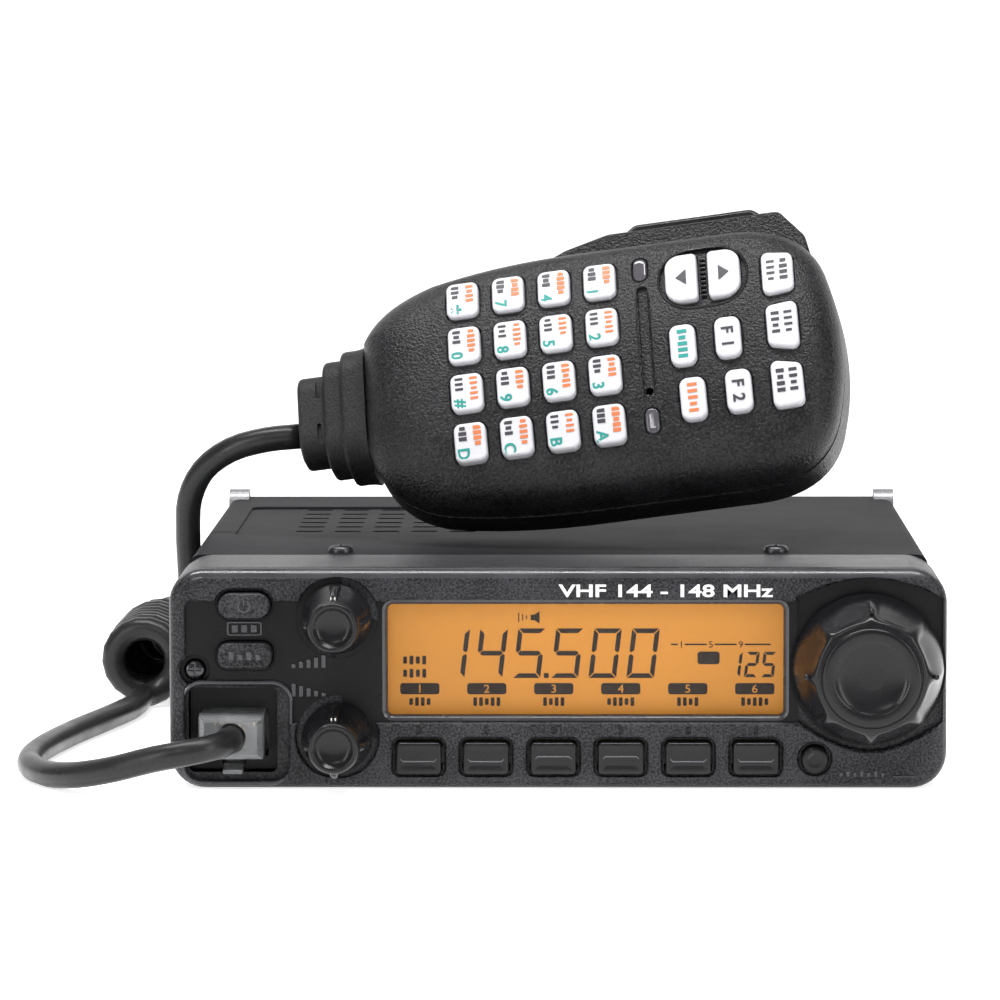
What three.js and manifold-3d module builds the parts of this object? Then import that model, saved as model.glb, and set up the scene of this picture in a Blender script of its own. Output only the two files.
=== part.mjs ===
// A mobile transceiver with its keypad hand microphone, as an assembly of separate pieces.
// Millimetres, +X right, +Y away from the front panel, +Z up.
// The origin is the centre of the case's underside.
import * as THREE from 'three';
import Module from 'manifold-3d';
import { mergeVertices } from 'three/addons/utils/BufferGeometryUtils.js';

const wasm = await Module();
wasm.setup();

// ---- driving dimensions -------------------------------------------------------------

const GAP = 0.3;                 // clearance between touching pieces
const SLIDE_FIT = 0.4;           // clearance round a piece that moves

// Case
const CASE_WIDTH = 135.8;
const CASE_HEIGHT = 40;
const CASE_DEPTH = 146;          // front of the panel to the tips of the rear fins
const COVER_SHEET = 1.2;
const COVER_FLANGE_BOTTOM = 22;
const CAST_WALL = 3;
const CAST_FLOOR = 4;
const FIN_DEPTH = 12;
const FIN_THICKNESS = 2;
const FIN_PITCH = 7;
const FIN_COUNT = 11;
const LUG_WIDTH = 4;
const LUG_DEPTH = 7;
const LUG_RISE = 1.8;            // corner lugs stand this far above the cover

// Front panel
const PANEL_OVERHANG = 2.1;       // the panel stands this far past the case on each side
const PANEL_WIDTH = CASE_WIDTH + 2 * PANEL_OVERHANG;
const PANEL_HALF = PANEL_WIDTH / 2;
const PANEL_DEPTH = 25;
const PANEL_CORNER = 6.5;
const PANEL_INNER_CORNER = 1.5;
const PANEL_WALL = 2.5;
const PANEL_FACE = 3;            // thickness of the panel's front wall
const BAND_BOTTOM = 12.1;        // the recessed band across the middle of the face
const BAND_TOP = 33.9;
const BAND_RECESS = 1;
const BAND_MARGIN = 8;

// Display
const WINDOW_WIDTH = 71.2;
const WINDOW_HEIGHT = 20;
const WINDOW_X = 5;
const WINDOW_Z = 23.3;
const WINDOW_LAP = 1.2;          // the lens is this much larger all round than its opening
const WINDOW_THICKNESS = 1.8;
const LCD_THICKNESS = 3;

// Panel controls
const DIAL_INSET = 14.3;         // from the panel's right edge
const DIAL_X = PANEL_HALF - DIAL_INSET;
const DIAL_Z = 21.9;
const DIAL_RADIUS = 13.6;
const DIAL_FRONT_RADIUS = 8.9;
const DIAL_DIMPLE_RADIUS = 6.6;
const DIAL_LENGTH = 16;
const DIAL_SCALLOPS = 8;
const DIAL_WELL_CLEARANCE = 2.4;
const DIAL_WELL_DEPTH = 1.8;
const KNOB_INSET = 30.3;         // this and the next two are from the panel's left edge
const POWER_BUTTON_INSET = 13.7;
const MEMORY_BUTTON_INSET = 13.8;
const KNOB_X = KNOB_INSET - PANEL_HALF;
const VOLUME_Z = 31.0;
const SQUELCH_Z = 9.5;
const KNOB_BASE_RADIUS = 6.6;
const KNOB_CAP_RADIUS = 4.5;
const KNOB_LENGTH = 17;
const KNOB_WELL_CLEARANCE = 0.9;
const KNOB_RIDGES = 4;
const SHAFT_RADIUS = 3;
const BUSHING_RADIUS = 3.6;
const KEY_TRAVEL = 1;
const KEY_PROUD = 1.4;
const KEY_FLANGE = 0.9;          // a key's collar reaches this far past its sides
const FUNCTION_KEYS = 6;
const FUNCTION_KEY_FIRST_X = -25.05;
const FUNCTION_KEY_PITCH = 12.13;
const FUNCTION_KEY_Z = 5.8;
const FUNCTION_KEY_SIZE = [8.2, 5.7];
const POWER_BUTTON = { x: POWER_BUTTON_INSET - PANEL_HALF, z: 33.3, width: 9.4, height: 4.6 };
const MEMORY_BUTTON = { x: MEMORY_BUTTON_INSET - PANEL_HALF, z: 24.3, width: 9.8, height: 4.7 };
const BANK_BUTTON = { x: 46.2, z: 5.5, width: 4.7, height: 4.7 };

// Microphone socket and plug
const PLUG_WIDTH = 11.7;
const PLUG_HEIGHT = 8;
const PLUG_LENGTH = 21.5;
const PLUG_Z = 9.8;
const PLUG_PROUD = 4.5;          // how far the plug's rear stands out of the panel
const LATCH_WIDTH = 3.5;
const LATCH_DROP = 3.2;
const JACK_WALL = 1.55;
const JACK_CLEARANCE = 1.1;      // between the socket and the panel's side wall
const JACK_WIDTH = PLUG_WIDTH + 2 * (SLIDE_FIT + JACK_WALL);
const JACK_X = PANEL_WALL + JACK_CLEARANCE + JACK_WIDTH / 2 - PANEL_HALF;
const JACK_BOTTOM = 3.1;
const JACK_HEIGHT = 14.8;
const JACK_SETBACK = 5;          // from the panel's face to the socket's face
const SOCKET_WELL = { x: JACK_X + 0.8, z: 10.15, width: JACK_WIDTH + 3.1, height: 17.3, corner: 3, depth: 2.2 };

// Inside the case
const BOARD_THICKNESS = 1.6;
const CONTROL_BOARD_GAP = 3.7;   // from the control board's face to the panel's rear
const MAIN_BOARD_Z = 8;
const SPEAKER_X = -33.5;
const SPEAKER_Y = 20;
const SPEAKER_RADIUS = 27;
const SPEAKER_DEPTH = 16;
const GRILLE_ROWS = 5;
const GRILLE_COLUMNS = 7;
const GRILLE_PITCH_X = 7.4;
const GRILLE_PITCH_Y = 9;
const GRILLE_SLOT = [5.4, 2.2];

// Rear connectors
const ANTENNA_X = -44;
const ANTENNA_Z = 24;
const ANTENNA_RADIUS = 8;
const ANTENNA_LENGTH = 14;
const GLAND_X = -24;
const GLAND_Z = 28;
const GLAND_RADIUS = 5;
const SPEAKER_JACK_X = -24;
const SPEAKER_JACK_Z = 13.2;
const SPEAKER_JACK_RADIUS = 3.2;

// Hand microphone, in its own frame: +x towards its top end, +y to its back, +z across
const MIC_LENGTH = 90.6;
const MIC_WIDTH = 52;
const MIC_THICKNESS = 32;
const MIC_WALL = 2.2;
const FACE_CROWN = 2.1;          // how far the face's long edges lie behind its middle
const FACE_EDGE = 0.79;          // the face's half-width as a share of the body's
const MIC_SPLIT = -6;            // the parting face between the two shells
const MIC_TILT = 8;              // degrees, top end up
const MIC_LEAN = 28;             // degrees, face leaning back
const MIC_YAW = 7.1;             // degrees, top end turned towards the front
const MIC_X = 9.76;
const MIC_Y = -18.25;
const KEYPAD_X = -11.55;
const KEYPAD_Z = 1.5;
const KEYPAD_PITCH = [8.74, 9.88];
const KEYPAD_KEY = [6, 7.5];
const SOUND_HOLE_X = 9.4;
const SOUND_HOLE_Z = -7.3;
const MIC_KEY_PROUD = 1.1;
const MIC_KEY_TRAVEL = 0.8;
const MIC_KEY_ROOT = 4.6;        // how far a key reaches behind the face's crown
const MIC_BOARD_GAP = 1.3;       // between the keys and the board, at rest
const LEVER_START = 5.4;
const LEVER_END = 32;
const LEVER_TOP = 32.8;
const LEVER_BOTTOM = 26.6;
const LEVER_FRONT = -4.4;
const LEVER_BACK = 4.6;
const HOUSING_TOP = 30.8;
const NECK_Z = 2;                // the cord end's centre, across the microphone
const STUD_RADIUS = 6;
const STUD_HEIGHT = 4.5;
const BOOT_STEPS = [             // length, width across, depth
  [6.8, 22, 17],
  [3.3, 18, 12.5],
  [4.2, 13.5, 10],
];

// Microphone cord
const CORD_DIAMETER = 5;
const COIL_DIAMETER = 18;        // outside of the curly stretch
const COIL_X = -84;
const COIL_START_Y = 42;
const COIL_CORNER_Y = 77;
const COIL_BEND_RADIUS = 22;
const COIL_END_X = 50;

// ---- places worked out from the sizes ------------------------------------------------

const FRONT_Y = -CASE_DEPTH / 2;
const REAR_Y = CASE_DEPTH / 2;
const SPLIT_Y = FRONT_Y + PANEL_DEPTH;
const CASE_HALF = CASE_WIDTH / 2;
const BAND_Y = FRONT_Y + BAND_RECESS;
const PANEL_INSIDE_Y = FRONT_Y + PANEL_FACE;
const CONTROL_BOARD_Y = SPLIT_Y - CONTROL_BOARD_GAP;
const FIN_ROOT_Y = REAR_Y - FIN_DEPTH;
const CAST_REAR_Y = FIN_ROOT_Y - CAST_WALL;
const CAST_TOP = CASE_HEIGHT - COVER_SHEET - GAP;
const DIAL_WELL_Y = BAND_Y + DIAL_WELL_DEPTH - BAND_RECESS;
const MAIN_BOARD_TOP = MAIN_BOARD_Z + BOARD_THICKNESS;

// ---- solids and meshes ----------------------------------------------------------------

const radians = THREE.MathUtils.degToRad;

// Turn a closed three.js geometry into a solid for joining and cutting.
function solid(geometry) {
  const bare = geometry.index ? geometry.toNonIndexed() : geometry.clone();
  bare.deleteAttribute('normal');
  bare.deleteAttribute('uv');
  const merged = mergeVertices(bare, 1e-4);
  const points = merged.attributes.position.array;
  const index = merged.index.array;
  const kept = [];
  let volume = 0;
  const a = new THREE.Vector3();
  const b = new THREE.Vector3();
  const c = new THREE.Vector3();
  for (let i = 0; i < index.length; i += 3) {
    const [p, q, r] = [index[i], index[i + 1], index[i + 2]];
    if (p === q || q === r || r === p) continue;
    kept.push(p, q, r);
    a.fromArray(points, 3 * p);
    b.fromArray(points, 3 * q);
    c.fromArray(points, 3 * r);
    volume += a.dot(b.cross(c));
  }
  if (volume < 0) {
    for (let i = 0; i < kept.length; i += 3) {
      [kept[i + 1], kept[i + 2]] = [kept[i + 2], kept[i + 1]];
    }
  }
  return new wasm.Manifold(new wasm.Mesh({
    numProp: 3,
    vertProperties: new Float32Array(points),
    triVerts: new Uint32Array(kept),
  }));
}

// Turn a finished solid back into a three.js geometry.
function geometryOf(piece) {
  const mesh = piece.getMesh();
  const geometry = new THREE.BufferGeometry();
  geometry.setAttribute('position', new THREE.BufferAttribute(new Float32Array(mesh.vertProperties), 3));
  geometry.setIndex(new THREE.BufferAttribute(new Uint32Array(mesh.triVerts), 1));
  geometry.computeVertexNormals();
  return geometry;
}

function join(...pieces) {
  return pieces.reduce((sum, piece) => sum.add(piece));
}

function box([x0, x1], [y0, y1], [z0, z1]) {
  const geometry = new THREE.BoxGeometry(x1 - x0, y1 - y0, z1 - z0);
  geometry.translate((x0 + x1) / 2, (y0 + y1) / 2, (z0 + z1) / 2);
  return solid(geometry);
}

// A shape drawn in x and z, extruded from y0 to y1.
function prismY(shape, y0, y1, curveSegments = 2) {
  const geometry = new THREE.ExtrudeGeometry(shape, { depth: y1 - y0, bevelEnabled: false, curveSegments });
  geometry.rotateX(Math.PI / 2);
  geometry.translate(0, y1, 0);
  return geometry;
}

// A shape drawn in x and y, extruded from z0 to z1.
function prismZ(shape, z0, z1, curveSegments = 3) {
  const geometry = new THREE.ExtrudeGeometry(shape, { depth: z1 - z0, bevelEnabled: false, curveSegments });
  geometry.translate(0, 0, z0);
  return geometry;
}

// A shape drawn in y and z, extruded from x0 to x1.
function prismX(shape, x0, x1, curveSegments = 3) {
  const geometry = new THREE.ExtrudeGeometry(shape, { depth: x1 - x0, bevelEnabled: false, curveSegments });
  geometry.applyMatrix4(new THREE.Matrix4().set(0, 0, 1, x0, 1, 0, 0, 0, 0, 1, 0, 0, 0, 0, 0, 1));
  return geometry;
}

function roundedRect(cx, cy, width, height, radius) {
  const [x0, x1] = [cx - width / 2, cx + width / 2];
  const [y0, y1] = [cy - height / 2, cy + height / 2];
  const r = Math.min(radius, width / 2 - 0.01, height / 2 - 0.01);
  const shape = new THREE.Shape();
  shape.moveTo(x0 + r, y0);
  shape.lineTo(x1 - r, y0);
  shape.absarc(x1 - r, y0 + r, r, -Math.PI / 2, 0, false);
  shape.lineTo(x1, y1 - r);
  shape.absarc(x1 - r, y1 - r, r, 0, Math.PI / 2, false);
  shape.lineTo(x0 + r, y1);
  shape.absarc(x0 + r, y1 - r, r, Math.PI / 2, Math.PI, false);
  shape.lineTo(x0, y0 + r);
  shape.absarc(x0 + r, y0 + r, r, Math.PI, 1.5 * Math.PI, false);
  return shape;
}

// A body of revolution about the line along +Y through (x, z); profile points are [radius, y].
function turnedY(profile, x, z, segments = 24) {
  const points = profile.map(([r, y]) => new THREE.Vector2(r, y));
  const geometry = new THREE.LatheGeometry(points, segments);
  geometry.translate(x, 0, z);
  return solid(geometry);
}

// A body of revolution about the vertical line through (x, y); profile points are [radius, z].
function turnedZ(profile, x, y, segments = 24) {
  const points = profile.map(([r, z]) => new THREE.Vector2(r, z));
  const geometry = new THREE.LatheGeometry(points, segments);
  geometry.rotateX(Math.PI / 2);
  geometry.translate(x, y, 0);
  return solid(geometry);
}

function rodY(x, z, radius, y0, y1, segments = 20) {
  return turnedY([[0, y0], [radius, y0], [radius, y1], [0, y1]], x, z, segments);
}

function tube(points, diameter, sides, steps) {
  const section = new THREE.Shape();
  for (let i = 0; i < sides; i += 1) {
    const angle = (2 * Math.PI * i) / sides;
    const [u, v] = [Math.cos(angle) * diameter / 2, Math.sin(angle) * diameter / 2];
    if (i === 0) section.moveTo(u, v);
    else section.lineTo(u, v);
  }
  const path = new THREE.CatmullRomCurve3(points.map((p) => new THREE.Vector3(...p)), false, 'centripetal');
  return solid(new THREE.ExtrudeGeometry(section, { steps, bevelEnabled: false, extrudePath: path }));
}

const FINISHES = {
  case_black: { color: 0x302f33, roughness: 0.55, metalness: 0.3 },
  panel_black: { color: 0x2b2b2f, roughness: 0.6, metalness: 0 },
  knob_black: { color: 0x1d1d20, roughness: 0.45, metalness: 0 },
  cast_metal: { color: 0xa0a0a0, roughness: 0.45, metalness: 0.9 },
  clear: { color: 0xe8ecee, roughness: 0.08, metalness: 0 },
  amber: { color: 0xd2913e, roughness: 0.4, metalness: 0 },
  board_green: { color: 0x1f5a38, roughness: 0.6, metalness: 0 },
  plated: { color: 0xc4c2b8, roughness: 0.3, metalness: 1 },
  key_white: { color: 0xe1e1e6, roughness: 0.45, metalness: 0 },
  rubber: { color: 0x232325, roughness: 0.8, metalness: 0 },
  cord_black: { color: 0x2c2c2e, roughness: 0.6, metalness: 0 },
};

function piece(name, body, finish) {
  const mesh = new THREE.Mesh(geometryOf(body), new THREE.MeshStandardMaterial(FINISHES[finish]));
  mesh.name = name;
  return mesh;
}

// ---- case ----------------------------------------------------------------------------

function makeChassis() {
  const upperHalf = CASE_HALF - COVER_SHEET - GAP;
  const insideHalf = upperHalf - CAST_WALL;
  const postTop = MAIN_BOARD_Z - GAP;
  let body = join(
    box([-CASE_HALF, CASE_HALF], [SPLIT_Y, FIN_ROOT_Y], [0, COVER_FLANGE_BOTTOM - GAP]),
    box([-upperHalf, upperHalf], [SPLIT_Y, FIN_ROOT_Y], [1, CAST_TOP]),
  );
  body = body.subtract(box([-insideHalf, insideHalf], [SPLIT_Y + CAST_WALL, CAST_REAR_Y],
    [CAST_FLOOR, CASE_HEIGHT + 5]));
  // Ribbon-cable opening in the front wall
  body = body.subtract(box([-20, 20], [SPLIT_Y - 5, SPLIT_Y + CAST_WALL + 5], [14, 26]));
  // Posts under the main board
  for (const x of [-50, 50]) {
    for (const y of [-36, 46]) {
      body = body.add(turnedZ([[0, CAST_FLOOR - 1], [3, CAST_FLOOR - 1], [3, postTop], [0, postTop]], x, y, 12));
    }
  }
  // Heat-sink fins on the rear, right of the connectors
  const firstFinX = CASE_HALF - FIN_THICKNESS - (FIN_COUNT - 1) * FIN_PITCH;
  for (let i = 0; i < FIN_COUNT; i += 1) {
    const x = firstFinX + i * FIN_PITCH;
    body = body.add(box([x, x + FIN_THICKNESS], [FIN_ROOT_Y - 1, REAR_Y], [0, CAST_TOP]));
  }
  body = body.add(box([-CASE_HALF, FIN_THICKNESS - CASE_HALF], [FIN_ROOT_Y - 1, REAR_Y], [0, CAST_TOP]));
  // Corner lugs
  for (const side of [-1, 1]) {
    const lug = prismX(roundedRect(REAR_Y - LUG_DEPTH / 2, CASE_HEIGHT / 2 + LUG_RISE / 2, LUG_DEPTH,
      CASE_HEIGHT + LUG_RISE, 2.5), -LUG_WIDTH / 2, LUG_WIDTH / 2);
    lug.translate(side * (CASE_HALF - LUG_WIDTH / 2), 0, 0);
    body = body.add(solid(lug));
  }
  // Holes for the rear connectors
  const through = [CAST_REAR_Y - 2, FIN_ROOT_Y + 2];
  body = body.subtract(rodY(ANTENNA_X, ANTENNA_Z, 5 + GAP, ...through));
  body = body.subtract(rodY(GLAND_X, GLAND_Z, GLAND_RADIUS - 1 + GAP, ...through));
  body = body.subtract(rodY(SPEAKER_JACK_X, SPEAKER_JACK_Z, SPEAKER_JACK_RADIUS + GAP, ...through, 16));
  return piece('chassis', body, 'cast_metal');
}

function makeTopCover() {
  const sheetBottom = CASE_HEIGHT - COVER_SHEET;
  const flangeRear = FIN_ROOT_Y - 1 - GAP;
  let body = join(
    box([-CASE_HALF, CASE_HALF], [SPLIT_Y, REAR_Y], [sheetBottom, CASE_HEIGHT]),
    box([-CASE_HALF, COVER_SHEET - CASE_HALF], [SPLIT_Y, flangeRear], [COVER_FLANGE_BOTTOM, CASE_HEIGHT]),
    box([CASE_HALF - COVER_SHEET, CASE_HALF], [SPLIT_Y, flangeRear], [COVER_FLANGE_BOTTOM, CASE_HEIGHT]),
  );
  for (const side of [-1, 1]) {
    const inner = side * (CASE_HALF - LUG_WIDTH - GAP);
    const outer = side * (CASE_HALF + 1);
    body = body.subtract(box([Math.min(inner, outer), Math.max(inner, outer)],
      [REAR_Y - LUG_DEPTH - GAP, REAR_Y + 1], [0, CASE_HEIGHT + 1]));
  }
  const [slotX, slotY] = GRILLE_SLOT;
  for (let row = 0; row < GRILLE_ROWS; row += 1) {
    for (let column = 0; column < GRILLE_COLUMNS; column += 1) {
      const x = SPEAKER_X + (column - (GRILLE_COLUMNS - 1) / 2) * GRILLE_PITCH_X;
      const y = SPEAKER_Y + (row - (GRILLE_ROWS - 1) / 2) * GRILLE_PITCH_Y;
      body = body.subtract(box([x - slotX / 2, x + slotX / 2], [y - slotY / 2, y + slotY / 2],
        [sheetBottom - 1, CASE_HEIGHT + 1]));
    }
  }
  return piece('top_cover', body, 'case_black');
}

// ---- front panel ----------------------------------------------------------------------

const PANEL_KEYS = [];
PANEL_KEYS.push({ name: 'power_button', ...POWER_BUTTON, corner: POWER_BUTTON.height / 2 });
PANEL_KEYS.push({ name: 'memory_button', ...MEMORY_BUTTON, corner: 1.8 });
for (let i = 0; i < FUNCTION_KEYS; i += 1) {
  const [width, height] = FUNCTION_KEY_SIZE;
  const x = FUNCTION_KEY_FIRST_X + i * FUNCTION_KEY_PITCH;
  PANEL_KEYS.push({ name: `function_key_${i + 1}`, x, z: FUNCTION_KEY_Z, width, height, corner: 0.8 });
}
PANEL_KEYS.push({ name: 'bank_button', ...BANK_BUTTON, corner: BANK_BUTTON.height / 2 });

function makeFrontPanel() {
  const rear = SPLIT_Y - GAP;
  let body = solid(prismY(roundedRect(0, CASE_HEIGHT / 2, PANEL_WIDTH, CASE_HEIGHT, PANEL_CORNER),
    FRONT_Y, rear, 5));
  const hollow = roundedRect(0, CASE_HEIGHT / 2, PANEL_WIDTH - 2 * PANEL_WALL, CASE_HEIGHT - 2 * PANEL_WALL,
    PANEL_INNER_CORNER);
  body = body.subtract(solid(prismY(hollow, PANEL_INSIDE_Y, rear + 5)));
  // Recessed band
  body = body.subtract(box([BAND_MARGIN - PANEL_HALF, PANEL_HALF - BAND_MARGIN / 2], [FRONT_Y - 5, BAND_Y],
    [BAND_BOTTOM, BAND_TOP]));
  // Dial well
  body = body.subtract(rodY(DIAL_X, DIAL_Z, DIAL_RADIUS + DIAL_WELL_CLEARANCE, FRONT_Y - 5, DIAL_WELL_Y, 32));
  const through = [FRONT_Y - 5, PANEL_INSIDE_Y + 5];
  body = body.subtract(rodY(DIAL_X, DIAL_Z, BUSHING_RADIUS + GAP, ...through));
  for (const z of [VOLUME_Z, SQUELCH_Z]) {
    body = body.subtract(rodY(KNOB_X, z, KNOB_BASE_RADIUS + KNOB_WELL_CLEARANCE, FRONT_Y - 5, BAND_Y, 24));
    body = body.subtract(rodY(KNOB_X, z, BUSHING_RADIUS + GAP, ...through));
  }
  // Display opening
  const opening = roundedRect(WINDOW_X, WINDOW_Z, WINDOW_WIDTH, WINDOW_HEIGHT, 1);
  body = body.subtract(solid(prismY(opening, ...through, 2)));
  // Keys
  for (const key of PANEL_KEYS) {
    const hole = roundedRect(key.x, key.z, key.width + 2 * SLIDE_FIT, key.height + 2 * SLIDE_FIT,
      key.corner + SLIDE_FIT);
    body = body.subtract(solid(prismY(hole, ...through)));
  }
  // Socket well and opening
  const { x: wellX, z: wellZ, width: wellWidth, height: wellHeight, corner, depth } = SOCKET_WELL;
  const well = roundedRect(wellX, wellZ, wellWidth, wellHeight, corner);
  body = body.subtract(solid(prismY(well, FRONT_Y - 5, FRONT_Y + depth)));
  const socket = roundedRect(JACK_X, JACK_BOTTOM + JACK_HEIGHT / 2, JACK_WIDTH + 2 * GAP,
    JACK_HEIGHT + 2 * GAP, 1.2);
  body = body.subtract(solid(prismY(socket, ...through)));
  return piece('front_panel', body, 'panel_black');
}

function makeDisplay() {
  const width = WINDOW_WIDTH + 2 * WINDOW_LAP;
  const height = WINDOW_HEIGHT + 2 * WINDOW_LAP;
  const lensY = PANEL_INSIDE_Y + GAP;
  const lcdY = lensY + WINDOW_THICKNESS + GAP;
  const lens = prismY(roundedRect(WINDOW_X, WINDOW_Z, width, height, 1), lensY, lensY + WINDOW_THICKNESS, 2);
  const x = [WINDOW_X - width / 2, WINDOW_X + width / 2];
  const z = [WINDOW_Z - height / 2, WINDOW_Z + height / 2];
  return [
    piece('display_window', solid(lens), 'clear'),
    piece('lcd_panel', box(x, [lcdY, lcdY + LCD_THICKNESS], z), 'amber'),
  ];
}

// A push key: its cap, a collar behind the panel and a stem to its switch.
function makePanelKey(key) {
  const collarY = PANEL_INSIDE_Y + SLIDE_FIT;
  const stemEnd = CONTROL_BOARD_Y - GAP - KEY_TRAVEL;
  const cap = prismY(roundedRect(key.x, key.z, key.width, key.height, key.corner), FRONT_Y - KEY_PROUD, collarY + 1);
  const collar = box([key.x - key.width / 2 - KEY_FLANGE, key.x + key.width / 2 + KEY_FLANGE],
    [collarY, collarY + 1.2], [key.z - key.height / 4, key.z + key.height / 4]);
  const stem = box([key.x - 1.2, key.x + 1.2], [collarY + 1, stemEnd], [key.z - 1.2, key.z + 1.2]);
  return piece(key.name, join(solid(cap), collar, stem), 'knob_black');
}

function makeDial() {
  const rear = DIAL_WELL_Y - GAP;
  const front = rear - DIAL_LENGTH;
  const lip = front + 1.2;
  const shape = new THREE.Shape();
  const steps = 6 * DIAL_SCALLOPS;
  for (let i = 0; i < steps; i += 1) {
    const angle = (2 * Math.PI * i) / steps;
    const radius = DIAL_RADIUS - 0.5 + 0.5 * Math.cos(DIAL_SCALLOPS * angle);
    const [x, z] = [DIAL_X + radius * Math.cos(angle), DIAL_Z + radius * Math.sin(angle)];
    if (i === 0) shape.moveTo(x, z);
    else shape.lineTo(x, z);
  }
  const skirt = solid(prismY(shape, lip + 3, rear, 1));
  const nose = turnedY([
    [0, front + 0.8], [DIAL_DIMPLE_RADIUS, front + 0.8], [DIAL_DIMPLE_RADIUS + 0.6, front],
    [DIAL_FRONT_RADIUS, front], [DIAL_RADIUS - 2.2, lip], [DIAL_RADIUS - 1, lip + 3.2], [0, lip + 3.2],
  ], DIAL_X, DIAL_Z, 32);
  const bore = rodY(DIAL_X, DIAL_Z, SHAFT_RADIUS + GAP, front + 5, rear + 2);
  const recess = rodY(DIAL_X, DIAL_Z, BUSHING_RADIUS + 2, rear - 4, rear + 2);
  return piece('tuning_dial', join(skirt, nose).subtract(bore).subtract(recess), 'knob_black');
}

function makeKnob(name, z) {
  const rear = BAND_Y - GAP;
  const front = rear - KNOB_LENGTH;
  let body = turnedY([
    [0, front], [KNOB_CAP_RADIUS - 0.5, front], [KNOB_CAP_RADIUS, front + 0.8],
    [KNOB_BASE_RADIUS - 0.9, rear - 4], [KNOB_BASE_RADIUS - 0.9, rear], [0, rear],
  ], KNOB_X, z);
  for (let i = 0; i < KNOB_RIDGES; i += 1) {
    const ridge = new THREE.BoxGeometry(2.4, KNOB_LENGTH - 2.5, 2.6);
    ridge.translate(0, (front + rear) / 2 + 1.2, KNOB_BASE_RADIUS - 1.3);
    ridge.rotateY((2 * Math.PI * i) / KNOB_RIDGES);
    ridge.translate(KNOB_X, 0, z);
    body = body.add(solid(ridge));
  }
  body = body.subtract(rodY(KNOB_X, z, SHAFT_RADIUS + GAP, front + 5, rear + 2));
  body = body.subtract(rodY(KNOB_X, z, BUSHING_RADIUS + GAP, rear - 1.4, rear + 2));
  return piece(name, body, 'knob_black');
}

// A rotary part on the control board: body, threaded bushing and shaft.
function makeRotary(name, x, z, size, shaftFront) {
  const rear = CONTROL_BOARD_Y - GAP;
  const body = box([x - size / 2, x + size / 2], [rear - 8, rear], [z - size / 2, z + size / 2]);
  const bushing = rodY(x, z, BUSHING_RADIUS, PANEL_INSIDE_Y - PANEL_FACE + 1.5, rear - 7);
  const shaft = rodY(x, z, SHAFT_RADIUS, shaftFront, rear - 7);
  return piece(name, join(body, bushing, shaft), 'plated');
}

function makeMicJack() {
  const face = FRONT_Y + JACK_SETBACK;
  const rear = CONTROL_BOARD_Y - GAP;
  const plugNose = FRONT_Y - PLUG_PROUD + PLUG_LENGTH;
  let body = box([JACK_X - JACK_WIDTH / 2, JACK_X + JACK_WIDTH / 2], [face, rear],
    [JACK_BOTTOM, JACK_BOTTOM + JACK_HEIGHT]);
  const halfWidth = PLUG_WIDTH / 2 + SLIDE_FIT;
  body = body.subtract(box([JACK_X - halfWidth, JACK_X + halfWidth], [face - 2, plugNose + 1],
    [PLUG_Z - PLUG_HEIGHT / 2 - SLIDE_FIT, PLUG_Z + PLUG_HEIGHT / 2 + SLIDE_FIT]));
  const latchHalf = LATCH_WIDTH / 2 + SLIDE_FIT;
  body = body.subtract(box([JACK_X - latchHalf, JACK_X + latchHalf], [face - 2, plugNose + 1],
    [PLUG_Z - PLUG_HEIGHT / 2 - LATCH_DROP / 2 - 0.5, PLUG_Z]));
  return piece('mic_jack', body, 'panel_black');
}

function makeMicPlug() {
  const rear = FRONT_Y - PLUG_PROUD;
  const nose = rear + PLUG_LENGTH;
  const bottom = PLUG_Z - PLUG_HEIGHT / 2;
  const body = box([JACK_X - PLUG_WIDTH / 2, JACK_X + PLUG_WIDTH / 2], [rear, nose],
    [bottom, PLUG_Z + PLUG_HEIGHT / 2]);
  // The latch springs from the nose and slopes away from the body towards the rear.
  const latch = new THREE.Shape();
  latch.moveTo(nose - 1, bottom + 0.5);
  latch.lineTo(nose - 1, bottom - 1);
  latch.lineTo(nose - 9, bottom - 1.6);
  latch.lineTo(rear + 3, bottom - LATCH_DROP);
  latch.lineTo(rear + 3, bottom - LATCH_DROP + 1.1);
  latch.lineTo(nose - 6, bottom - 0.4);
  latch.lineTo(nose - 4, bottom + 0.5);
  const tongue = prismX(latch, JACK_X - LATCH_WIDTH / 2, JACK_X + LATCH_WIDTH / 2);
  return piece('mic_plug', body.add(solid(tongue)), 'clear');
}

// ---- inside the case --------------------------------------------------------------------

function makeControlBoard() {
  const board = box([7 - PANEL_HALF, PANEL_HALF - 7], [CONTROL_BOARD_Y, CONTROL_BOARD_Y + BOARD_THICKNESS],
    [PANEL_WALL + 1.5, CASE_HEIGHT - PANEL_WALL - 1.5]);
  return piece('control_board', board, 'board_green');
}

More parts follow.
